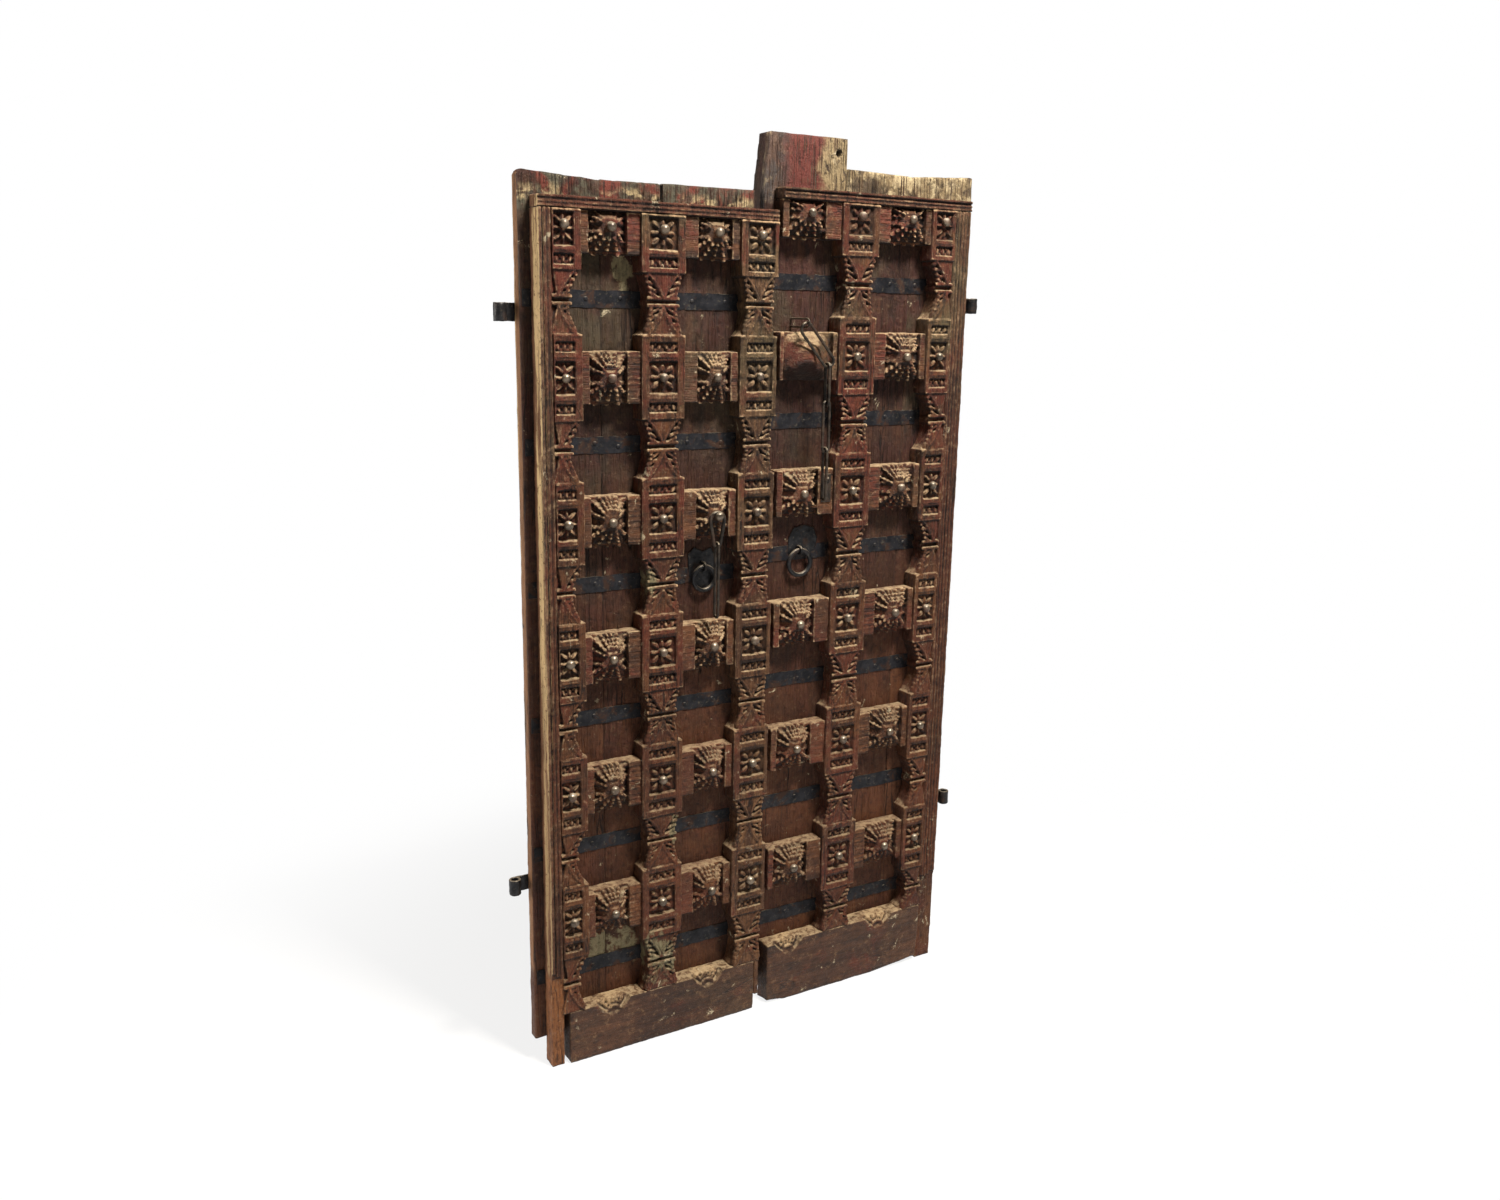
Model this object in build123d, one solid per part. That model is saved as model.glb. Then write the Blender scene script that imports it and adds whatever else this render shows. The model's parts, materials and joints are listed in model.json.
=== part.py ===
from build123d import *
import math
import os

os.makedirs("parts", exist_ok=True)

# An old double-leaf door of ledged boards with a carved lattice nailed on its front.
# Millimetres. X runs along the width, the carved front faces -Y, Z is up.
# x = 0 is the outer edge of the left lattice, y = 0 the front of the carved blocks.
# At the end everything is moved so that the origin is the middle of the foot.

# Thicknesses, measured from the front of the carved blocks
lattice_depth = 48
board_thickness = 25
tall_board_thickness = 52
rail_setback = 8
lap_depth = 24
lap_inset = 8
meeting_lap_inset = 14
bottom_rail_setback = 2
fit_gap = 0.4

# Carved blocks, waists and rails, the same on both leaves
row_count = 6
block_height = 172
rail_height = 105
cap_height = 24
carving_depth = 4
waist_neck = 7
waist_band_height = 16
leaf_margin = 9
leaf_tip_width = 5

# Rosette panels and bead rows
rosette_height = 66
rosette_drop_at_top = 8
petal_reach = 21
petal_length = 25
petal_width = 13
petal_rise = 3.2
petal_taper = 30
bead_row_height = 18
bead_row_offset = 61
bead_row_lift_at_top = 4
bead_height = 12
bead_width = 7
bead_count = 5
bead_rise = 3.4
bead_taper = 25

# Pyramid bosses on the rails
pyramid_base_depth = 30
pyramid_proud = 6
pyramid_tip = 17
plain_boss_proud = 17
fan_width = 64
fan_height = 30
fan_depth = 16
fan_tip = 2

# Edge mouldings
reed_count = 3
reed_rise = 4
reed_gap = 3
moulding_bed = 8

# Forged nails
nail_head_radius = 9
nail_head_height = 8
dome_rim_share = 0.55
dome_rim_taper = 20
dome_top_taper = 48
nail_shank = 5
nail_hole_gap = 0.3
slot_end_gap = 2
clinch_length = 22
clinch_thickness = 2.5
long_neck = 14
neck_radius = 4

# Iron bands let into the boards
band_width = 34
band_thickness = 3
band_rise_over_middle = 8
band_end_inset = 6

# Hinge straps with rolled eyes
strap_width = 36
strap_thickness = 5
strap_length = 300
eye_bore_radius = 8
eye_reach = 33
strap_nail_count = 3
strap_nail_inset = 24
strap_nail_head_radius = 8
strap_nail_depth = 20

# Ring pulls
ring_radius = 25
ring_wire = 4
staple_wire = 3
ring_clearance = 0.7
plate_thickness = 3
ring_stand_off = 9
staple_leg_depth = 18
ring_plate_sizes = {"left": (74, 98), "right": (68, 70)}

# Hanging links and chain
link_wire = 2.75
narrow_bend = 8
wide_bend = 14
hasp_top_bend = 17
hasp_link_pitch = 74
thin_loop_pitch = 158
chain_pitches = [83, 103, 108]
chain_plane = -18
hook_clearance = 3.2
catch_plate_thickness = 2
catch_plate_rise = 14

# The two leaves. Distances across a leaf start at the outer edge of its lattice.
leaves = {
    "left": {
        "start": 0,
        "direction": 1,
        "frame_top": 1863,
        "first_level": 1810,
        "pitch": 293,
        "moulding_width": 28,
        "moulding_foot": 215,
        "outer_block": (28, 88),
        "outer_carving": (52, 42),
        "middle_block": (218, 316),
        "middle_carving": (267, 66),
        "rails_end": 448,
        "pyramids": ((148, 82), (390, 80)),
        "outer_waist": 26,
        "outer_leaf": 40,
        "middle_waist": 18,
        "bottom_rail_height": 127,
        "bottom_rail_end": 515,
        "boards_bottom": 55,
        "boards": ((-24, 146, 1911, 1900), (149, 283, 1901, 1902), (289, 505, 1903, 1904)),
        "hinges": (1643, 428),
    },
    "right": {
        "start": 1061,
        "direction": -1,
        "frame_top": 1912,
        "first_level": 1862,
        "pitch": 302,
        "moulding_width": 46,
        "moulding_foot": 232,
        "outer_block": (46, 112),
        "outer_carving": (77, 50),
        "middle_block": (261, 359),
        "middle_carving": (310, 66),
        "rails_end": 508,
        "pyramids": ((176, 100), (446, 94)),
        "outer_waist": 24,
        "outer_leaf": 36,
        "middle_waist": 18,
        "bottom_rail_height": 155,
        "bottom_rail_end": 508,
        "boards_bottom": 50,
        "boards": ((-35, 137, 1970, 1960), (140, 318, 1960, 1964)),
        "hinges": (1678, 412),
    },
}

# The meeting stile of the left leaf covers the gap between the leaves
meeting_block = (448, 539)
meeting_carving = (497, 66)
meeting_inner_waist = 18
meeting_outer_waist = 13
meeting_tongue_bottom = 36
meeting_tongue_slope = 12
meeting_rebate_gap = 2

# The tall plank at the free edge of the right leaf
tall_board = (321, 533)
tall_board_top = 2026
tall_board_chamfer = 14
tall_board_chamfer_bottom = 1905
knot_radius = 8
knot_depth = 12
knot_place = (344, 1993)

# The big plain boss without a nail on the right leaf
plain_boss_row = 1
plain_boss_base = (370, 500)
plain_boss_tip = 453

# Places of the ironwork
ring_places = {"left": (385, 1104), "right": (426, 1121)}
hasp_row = 2
chain_staple_place = (458, 1632)
chain_first_drop = (57, 94)
catch_place = (379, 1284)
catch_plate_size = (26, 64)
catch_reach = 12

nodes = {}
boards_front = lattice_depth
boards_back = lattice_depth + board_thickness
tall_board_back = lattice_depth + tall_board_thickness
min_corner = (Align.MIN, Align.MIN, Align.MIN)


def block(x_span, y_span, z_span):
    """A box from three (low, high) spans."""
    size = [high - low for low, high in (x_span, y_span, z_span)]
    return Pos(x_span[0], y_span[0], z_span[0]) * Box(*size, align=min_corner)


def slab(points, y_front, y_back):
    """An upright plate with its outline given as (x, z) points."""
    outline = Polyline(*[(x, y_front, z) for x, z in points], close=True)
    return extrude(make_face(outline), amount=y_back - y_front, dir=(0, 1, 0))


def levels_of(leaf):
    """Heights of the nails, one for each row of rails, from the top down."""
    return [leaf["first_level"] - leaf["pitch"] * row for row in range(row_count)]


def cap_bottom(leaf):
    return leaf["frame_top"] - cap_height


def bays_of(leaf):
    """(top, bottom) of the waisted stretch under each carved block."""
    levels = levels_of(leaf)
    tops = [level - block_height / 2 for level in levels]
    bottoms = [level + block_height / 2 for level in levels[1:]] + [leaf["bottom_rail_height"]]
    return list(zip(tops, bottoms))


def waisted_edge(edge, depth, leaf):
    """Points down one edge of a stile, cut in by depth in each bay (negative cuts left)."""
    side = math.copysign(1, depth)
    points = [(edge, cap_bottom(leaf))]
    for top, bottom in bays_of(leaf):
        middle = (top + bottom) / 2
        points += [
            (edge, top),
            (edge + side * waist_neck, top),
            (edge + depth, middle + waist_band_height),
            (edge + depth, middle),
            (edge + side * waist_neck / 2, bottom),
            (edge, bottom),
        ]
    return points


def moved_tools(tool, places):
    return [Pos(x, 0, z) * tool for x, z in places]


def rosette_recess(width):
    """A sunken square panel in which four faceted petals are left standing."""
    half_height = rosette_height / 2
    recess = block((-width / 2, width / 2), (-1, carving_depth), (-half_height, half_height))
    reach = petal_reach * width / rosette_height
    petal_plane = Plane(origin=(0, carving_depth, 0), x_dir=(1, 0, 0), z_dir=(0, -1, 0))
    half_length = petal_length / 2
    half_width = petal_width / 2
    rhombus = [(half_length, 0), (0, half_width), (-half_length, 0), (0, -half_width)]
    petals = []
    for x_side in (-1, 1):
        for z_side in (-1, 1):
            turn = math.degrees(math.atan2(z_side * petal_reach, x_side * reach))
            place = Pos(x_side * reach, z_side * petal_reach) * Rot(0, 0, turn)
            outline = place * Polygon(*rhombus, align=None)
            petals.append(extrude(petal_plane * outline, amount=petal_rise, taper=petal_taper))
    return recess - petals


def bead_row_recess(width):
    """A sunken strip with a row of raised beads."""
    half_height = bead_row_height / 2
    recess = block((-width / 2, width / 2), (-1, carving_depth), (-half_height, half_height))
    bead_plane = Plane(origin=(0, carving_depth, 0), x_dir=(1, 0, 0), z_dir=(0, -1, 0))
    spacing = width / bead_count
    beads = []
    for index in range(bead_count):
        place = Pos((index + 0.5) * spacing - width / 2, 0)
        bead = bead_plane * (place * Rectangle(bead_width, bead_height))
        beads.append(extrude(bead, amount=bead_rise, taper=bead_taper))
    return recess - beads


def leaf_recesses(low_edge, high_edge, leaf):
    """Flank cuts that leave one leaf hanging from each block and one standing on the next."""
    cuts = []
    centre = (low_edge + high_edge) / 2
    for top, bottom in bays_of(leaf):
        middle = (top + bottom) / 2
        for base, tip in ((top, middle + waist_band_height), (bottom, middle)):
            for edge, inward in ((low_edge, 1), (high_edge, -1)):
                corner = edge + inward * leaf_margin
                point = centre - inward * leaf_tip_width / 2
                outline = [(edge - inward, base), (corner, base), (point, tip), (edge - inward, tip)]
                cuts.append(slab(outline, -1, carving_depth))
    return cuts


def block_carving(centre, width, leaf):
    """Rosette and bead rows for every block of one stile."""
    levels = levels_of(leaf)
    rosettes = [(centre, levels[0] - rosette_drop_at_top)]
    bead_rows = [(centre, levels[0] - rosette_drop_at_top - bead_row_offset + bead_row_lift_at_top)]
    for level in levels[1:]:
        rosettes.append((centre, level))
        bead_rows += [(centre, level + bead_row_offset), (centre, level - bead_row_offset)]
    return moved_tools(rosette_recess(width), rosettes) + moved_tools(bead_row_recess(width), bead_rows)


def rail_span(level, leaf):
    """Bottom and top of the rail at this level; the top rail runs up to the cap."""
    bottom = level - rail_height / 2
    top = level + rail_height / 2
    if level == leaf["first_level"]:
        top = cap_bottom(leaf)
    return bottom, top


def lap_notches(x_span, leaf):
    """Notches in a stile's back that let the rails through."""
    cuts = []
    for level in levels_of(leaf):
        bottom, top = rail_span(level, leaf)
        top_gap = 1 if level == leaf["first_level"] else fit_gap
        span = (bottom - fit_gap, top + top_gap)
        cuts.append(block((x_span[0] - 1, x_span[1] + 1), (lap_depth, lattice_depth + 1), span))
    return cuts


def nail_hole(x, z, y_back):
    half = nail_shank / 2 + nail_hole_gap
    return block((x - half, x + half), (-pyramid_proud - 2, y_back + 1), (z - half, z + half))


def outer_stile(leaf):
    low, high = leaf["outer_block"]
    edge = waisted_edge(high, -leaf["outer_waist"], leaf)
    foot = leaf["bottom_rail_height"]
    outline = [(0, cap_bottom(leaf))] + edge + [(low, foot), (low, 0), (0, 0)]
    rebate = block((-1, low), (-1, moulding_bed), (-1, cap_bottom(leaf) + 1))
    centre, width = leaf["outer_carving"]
    leaf_tip = high - leaf["outer_leaf"] - leaf_margin
    cuts = [rebate] + block_carving(centre, width, leaf)
    cuts += lap_notches((low + lap_inset, high), leaf)
    for top, bottom in bays_of(leaf):
        middle = (top + bottom) / 2
        for base, tip in ((top, middle + waist_band_height), (bottom, middle)):
            corner = (high - leaf_margin, base)
            points = [corner, (high + 1, base), (high + 1, tip), (leaf_tip, tip)]
            cuts.append(slab(points, -1, carving_depth))
    cuts += [nail_hole(centre, level, boards_back) for level in levels_of(leaf)]
    return slab(outline, 0, lattice_depth).cut(*cuts)


def middle_stile(leaf):
    low, high = leaf["middle_block"]
    waist = leaf["middle_waist"]
    right = waisted_edge(high, -waist, leaf)
    left = waisted_edge(low, waist, leaf)
    centre, width = leaf["middle_carving"]
    cuts = block_carving(centre, width, leaf) + lap_notches((low, high), leaf)
    cuts += leaf_recesses(low, high, leaf)
    cuts += [nail_hole(centre, level, boards_back) for level in levels_of(leaf)]
    return slab(left + right[::-1], 0, lattice_depth).cut(*cuts)


def meeting_rebate(leaf):
    """Clearance behind the left leaf's edge, where the right leaf's tall plank passes."""
    start = leaf["boards"][-1][1] + 1
    y_span = (lattice_depth - meeting_rebate_gap, lattice_depth + 1)
    return block((start, meeting_block[1] + 1), y_span, (-1, leaf["frame_top"] + 1))


def meeting_stile(leaf):
    low, high = meeting_block
    left = waisted_edge(low, meeting_inner_waist, leaf)
    right = waisted_edge(high, -meeting_outer_waist, leaf)
    tongue_left = leaf["bottom_rail_end"] + fit_gap
    foot = leaf["bottom_rail_height"]
    tongue = [
        (tongue_left, foot),
        (tongue_left, meeting_tongue_bottom),
        (high - meeting_outer_waist, meeting_tongue_bottom + meeting_tongue_slope),
        (high - waist_neck / 2, foot),
    ]
    centre, width = meeting_carving
    cuts = block_carving(centre, width, leaf) + lap_notches((low, high - meeting_lap_inset), leaf)
    cuts += leaf_recesses(low, high, leaf)
    cuts += [nail_hole(centre, level, boards_back) for level in levels_of(leaf)]
    cuts.append(meeting_rebate(leaf))
    above_tongue = right[:-2]
    return slab(left + tongue + above_tongue[::-1], 0, lattice_depth).cut(*cuts)


def boss(base, tip_x, z_span, tip_z, proud):
    """A pyramid on a sunken field, from its base span to a small flat tip."""
    base_width = base[1] - base[0]
    base_height = z_span[1] - z_span[0]
    rise = pyramid_base_depth + proud
    tip_low = tip_x - base[0] - pyramid_tip / 2
    tip_bottom = tip_z - z_span[0] - pyramid_tip / 2
    corners = (tip_low, tip_bottom, tip_low + pyramid_tip, tip_bottom + pyramid_tip)
    shape = Wedge(base_width, rise, base_height, *corners, align=min_corner)
    turned = mirror(shape, about=Plane.XZ)
    return Pos(base[0], pyramid_base_depth, z_span[0]) * turned


def rail(leaf, level, side):
    """One rail: a lath lapped behind the stiles and raised fields between them."""
    bottom, top = rail_span(level, leaf)
    outer_edge = leaf["outer_block"][1] + fit_gap
    middle_low, middle_high = leaf["middle_block"]
    end = leaf["rails_end"]
    lath_start = leaf["outer_block"][0] + lap_inset + fit_gap
    lath_end = end
    if side == "left":
        end = end - fit_gap
        lath_end = meeting_block[1] - meeting_lap_inset - fit_gap
    body = block((lath_start, lath_end), (lap_depth, lattice_depth), (bottom, top))
    fields = [(outer_edge, middle_low - fit_gap), (middle_high + fit_gap, end)]
    for field in fields:
        body += block(field, (rail_setback, lap_depth), (bottom, top))
    row = levels_of(leaf).index(level)
    for column, (centre, width) in enumerate(leaf["pyramids"]):
        base = (centre - width / 2, centre + width / 2)
        tip_x, proud = centre, pyramid_proud
        plain = side == "right" and row == plain_boss_row and column == 1
        if plain:
            base, tip_x, proud = plain_boss_base, plain_boss_tip, plain_boss_proud
        z_span = (bottom, min(top, level + rail_height / 2))
        tip_z = min(level, z_span[1] - pyramid_tip)
        body -= block(base, (rail_setback - 1, pyramid_base_depth), (z_span[0] - 1, z_span[1] + 1))
        body += boss(base, tip_x, z_span, tip_z, proud)
        if not plain:
            body -= nail_hole(centre, level, boards_back)
    for centre in (leaf["outer_carving"][0], leaf["middle_carving"][0], meeting_carving[0]):
        if centre < lath_end:
            body -= nail_hole(centre, level, boards_back)
    return body


def bottom_rail(leaf):
    """The plain foot rail; half a carved fan dips into its top edge in each column."""
    start = leaf["outer_block"][0] + fit_gap
    height = leaf["bottom_rail_height"]
    body = block((start, leaf["bottom_rail_end"]), (bottom_rail_setback, lattice_depth), (0, height))
    for centre, _ in leaf["pyramids"]:
        half = fan_width / 2
        deepest = (half - fan_tip, fan_height - fan_tip, half + fan_tip, fan_height)
        fan = Wedge(fan_width, fan_depth, fan_height, *deepest, align=min_corner)
        body -= Pos(centre - half, bottom_rail_setback, height - fan_height) * fan
    return body


def reeds(length, width):
    """Cross section of an edge moulding: reeds side by side on a flat bed."""
    reed_width = (width - reed_gap * (reed_count - 1)) / reed_count
    points = [(0, moulding_bed), (0, 0)]
    for index in range(reed_count):
        left = index * (reed_width + reed_gap)
        right = left + reed_width
        points += [(left + reed_width / 4, -reed_rise), (right - reed_width / 4, -reed_rise), (right, 0)]
        if index < reed_count - 1:
            points.append((right + reed_gap, 0))
    points.append((width, moulding_bed))
    outline = Polyline(*[(x, y, 0) for x, y in points], close=True)
    return extrude(make_face(outline), amount=length)


def edge_moulding(leaf):
    foot = leaf["moulding_foot"]
    return Pos(0, 0, foot) * reeds(cap_bottom(leaf) - foot, leaf["moulding_width"])


def cap(leaf, side):
    """The strip along the top, with two ridges on its front edge."""
    low = cap_bottom(leaf)
    high = leaf["frame_top"]
    middle = (low + high) / 2
    section = [
        (lattice_depth, low),
        (0, low),
        (-reed_rise, low + 3),
        (-reed_rise, middle - 3),
        (0, middle),
        (-reed_rise, middle + 3),
        (-reed_rise, high - 3),
        (-1, high),
        (lattice_depth, high),
    ]
    outline = Polyline(*[(0, y, z) for y, z in section], close=True)
    end = meeting_block[1] if side == "left" else leaf["rails_end"]
    strip = extrude(make_face(outline), amount=end, dir=(1, 0, 0))
    return strip - meeting_rebate(leaf) if side == "left" else strip


def band_heights(leaf):
    return [level - leaf["pitch"] / 2 + band_rise_over_middle for level in levels_of(leaf)]


def band_span(leaf, board_end):
    return leaf["boards"][0][0] + band_end_inset, board_end - band_end_inset


def band_blocks(leaf, board_end, gap):
    """The iron bands, or their housings when gap is above zero."""
    low, high = band_span(leaf, board_end)
    half = band_width / 2 + gap
    y_span = (boards_front - (1 if gap else 0), boards_front + band_thickness)
    return [block((low - gap, high + gap), y_span, (z - half, z + half)) for z in band_heights(leaf)]


def nail_places(leaf, side):
    """(x, z, seat of the head, back of the wood) for every nail of a leaf."""
    places = []
    columns = [leaf["outer_carving"][0], leaf["middle_carving"][0]]
    if side == "left":
        columns.append(meeting_carving[0])
    for row, level in enumerate(levels_of(leaf)):
        for x in columns:
            places.append((x, level, carving_depth, boards_back))
        for column, (x, _) in enumerate(leaf["pyramids"]):
            if side == "right" and row == plain_boss_row and column == 1:
                continue
            back = tall_board_back if side == "right" and column == 1 else boards_back
            places.append((x, level, -pyramid_proud, back))
    return places


def domed_head(radius, height, sides=8):
    """A forged head as a low faceted dome; its seat is y = 0 and it points to -Y."""
    front = Plane(origin=(0, 0, 0), x_dir=(1, 0, 0), z_dir=(0, -1, 0))
    rim = height * dome_rim_share
    lower = extrude(front * RegularPolygon(radius, sides), amount=rim, taper=dome_rim_taper)
    shoulder = radius - rim * math.tan(math.radians(dome_rim_taper))
    upper_front = Plane(origin=(0, -rim, 0), x_dir=(1, 0, 0), z_dir=(0, -1, 0))
    crown = upper_front * RegularPolygon(shoulder, sides)
    upper = extrude(crown, amount=height - rim, taper=dome_top_taper)
    return lower + upper


def nail(back, seat, neck=0):
    """A nail at x = z = 0: domed head, square shank, tip bent over behind the boards."""
    half = nail_shank / 2
    shank = block((-half, half), (seat - neck, back + clinch_thickness), (-half, half))
    tip = block((-half, half), (back, back + clinch_thickness), (-half - clinch_length, -half))
    head = Pos(0, seat - neck, 0) * domed_head(nail_head_radius, nail_head_height)
    body = shank + tip + head
    if neck:
        body += rod((0, seat, 0), (0, seat - neck, 0), neck_radius)
    return body


def board(points, leaf, back, board_end):
    """A plank with housings for the bands and holes for the nails."""
    low = min(x for x, _ in points)
    high = max(x for x, _ in points)
    cuts = band_blocks(leaf, board_end, fit_gap / 2)
    side = "left" if leaf["direction"] > 0 else "right"
    half = nail_shank / 2 + nail_hole_gap
    for x, z, _, nail_back in nail_places(leaf, side):
        if low - half < x < high + half:
            y_span = (boards_front - 1, nail_back + 1)
            cuts.append(block((x - half, x + half), y_span, (z - half, z + half)))
    return slab(points, boards_front, back).cut(*cuts)


def strap_nail_places(leaf):
    start = leaf["boards"][0][0]
    stretch = strap_length - eye_reach - 2 * strap_nail_inset
    spacing = stretch / (strap_nail_count - 1)
    return [start + strap_nail_inset + spacing * index for index in range(strap_nail_count)]


def hinge_strap(leaf, height):
    """A flat strap on the back of the boards, its end rolled forward into an eye."""
    eye_x = leaf["boards"][0][0] - eye_reach
    outer = eye_bore_radius + strap_thickness
    eye_y = boards_back + strap_thickness - outer
    bottom = height - strap_width / 2
    y_span = (boards_back, boards_back + strap_thickness)
    flat = block((eye_x, eye_x + strap_length), y_span, (bottom, bottom + strap_width))
    ring = Pos(eye_x, eye_y, height) * Cylinder(outer, strap_width)
    bore = Pos(eye_x, eye_y, height) * Cylinder(eye_bore_radius, strap_width + 2)
    body = flat + ring - bore
    half = nail_shank / 2 + nail_hole_gap
    hole_span = (y_span[0] - 1, y_span[1] + 1)
    for x in strap_nail_places(leaf):
        body -= block((x - half, x + half), hole_span, (height - half, height + half))
    return body


def strap_nails(leaf, height):
    half = nail_shank / 2
    seat = boards_back + strap_thickness
    head = Pos(0, seat, 0) * Rot(0, 0, 180) * domed_head(strap_nail_head_radius, nail_head_height / 2, 6)
    shank = block((-half, half), (boards_back - strap_nail_depth, seat), (-half, half))
    return moved_tools(head + shank, [(x, height) for x in strap_nail_places(leaf)])


def rod(start, end, radius):
    """A straight round bar between two points."""
    direction = Vector(*end) - Vector(*start)
    plane = Plane(origin=start, z_dir=direction)
    return extrude(plane * Circle(radius), amount=direction.length)


def bent_link(top_bend, bottom_bend, centres, wire):
    """A closed link in the XZ plane: two round bends joined by straight sides.

    The top bend's centre is the origin and the bottom bend's is centres below it.
    """
    lean = math.asin((top_bend - bottom_bend) / centres)
    top_points = []
    bottom_points = []
    for side in (1, -1):
        direction = Vector(side * math.cos(lean), 0, -math.sin(lean))
        top_points.append(Vector(0, 0, 0) + direction * top_bend)
        bottom_points.append(Vector(0, 0, -centres) + direction * bottom_bend)
    path = Wire([
        ThreePointArc(top_points[0], (0, 0, top_bend), top_points[1]).edge(),
        Line(top_points[1], bottom_points[1]).edge(),
        ThreePointArc(bottom_points[1], (0, 0, -centres - bottom_bend), bottom_points[0]).edge(),
        Line(bottom_points[0], top_points[0]).edge(),
    ])
    start = Plane(origin=top_points[1], z_dir=(bottom_points[1] - top_points[1]))
    return sweep(start * Circle(wire), path=path)


def staple(pivot, eye_radius, back):
    """A round-wire staple standing out of the door, its bend around the pivot."""
    x, y, z = pivot
    bend = eye_radius + staple_wire
    path = Wire([
        Line((x, back, z + bend), (x, y, z + bend)).edge(),
        ThreePointArc((x, y, z + bend), (x, y - bend, z), (x, y, z - bend)).edge(),
        Line((x, y, z - bend), (x, back, z - bend)).edge(),
    ])
    start = Plane(origin=(x, back, z + bend), z_dir=(0, -1, 0))
    return sweep(start * Circle(staple_wire), path=path)


def staple_holes(pivot, eye_radius, y_span):
    """Holes for the two legs of a staple."""
    x, _, z = pivot
    bend = eye_radius + staple_wire
    radius = staple_wire + nail_hole_gap
    legs = [z - bend, z + bend]
    return [rod((x, y_span[0], leg), (x, y_span[1], leg), radius) for leg in legs]


def staple_slot(pivot, eye_radius, y_span):
    """One slot round both legs, for thin iron that a round hole would break out of."""
    x, _, z = pivot
    half_width = staple_wire + nail_hole_gap
    half_height = eye_radius + 2 * staple_wire + slot_end_gap
    return block((x - half_width, x + half_width), y_span, (z - half_height, z + half_height))


def world(leaf, shape):
    """Places a shape drawn across a leaf into the door; the right leaf is mirrored."""
    if leaf["direction"] < 0:
        shape = mirror(shape, about=Plane.YZ)
    return Pos(leaf["start"], 0, 0) * shape


def keep(name, shape):
    """Files a node under its name, as one solid or as a group of equal ones."""
    if isinstance(shape, (list, tuple)):
        solids = [solid for item in shape for solid in item.solids()]
    else:
        solids = list(shape.solids())
    nodes[name] = solids[0] if len(solids) == 1 else Compound(children=solids)


# The ring pulls' pivots, across each leaf
ring_eye = ring_wire + ring_clearance
ring_pivot_y = boards_front - plate_thickness - ring_stand_off
ring_pivots = {side: (place[0], ring_pivot_y, place[1]) for side, place in ring_places.items()}
ring_leg_back = boards_front + staple_leg_depth

# The chain hangs from its own long staple above the plain boss
chain_eye = link_wire + hook_clearance
chain_pivot = (chain_staple_place[0], chain_plane, chain_staple_place[1])
catch_front = rail_setback - catch_reach
catch_eye = link_wire
catch_pivot = (catch_place[0], catch_front + staple_wire + catch_eye + staple_wire, catch_place[1])
catch_plate_top = catch_place[1] + catch_plate_rise


def ring_plate(side):
    """A thin beaten plate behind the ring, ragged on the left leaf and rounded on the right."""
    x, _, z = ring_pivots[side]
    width, height = ring_plate_sizes[side]
    front, back = boards_front - plate_thickness, boards_front
    if side == "left":
        shape = [
            (-0.50, 0.36), (-0.30, 0.50), (-0.04, 0.40), (0.22, 0.48), (0.50, 0.14),
            (0.42, -0.30), (0.14, -0.50), (-0.20, -0.42), (-0.46, -0.12),
        ]
        centre_x, centre_z = x + 4, z - 6
    else:
        shape = [
            (-0.50, 0.10), (-0.36, 0.40), (-0.02, 0.50), (0.34, 0.42), (0.50, 0.14),
            (0.50, -0.30), (0.32, -0.50), (-0.18, -0.42), (-0.44, -0.20),
        ]
        centre_x, centre_z = x - 14, z + 22
    outline = [(centre_x + u * width, centre_z + v * height) for u, v in shape]
    leg_holes = staple_holes(ring_pivots[side], ring_eye, (front - 1, back + 1))
    return slab(outline, front, back).cut(*leg_holes)


def hanging_ring(side):
    x, y, z = ring_pivots[side]
    return Pos(x, y, z - ring_radius) * Rot(90, 0, 0) * Torus(ring_radius, ring_wire)


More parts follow.
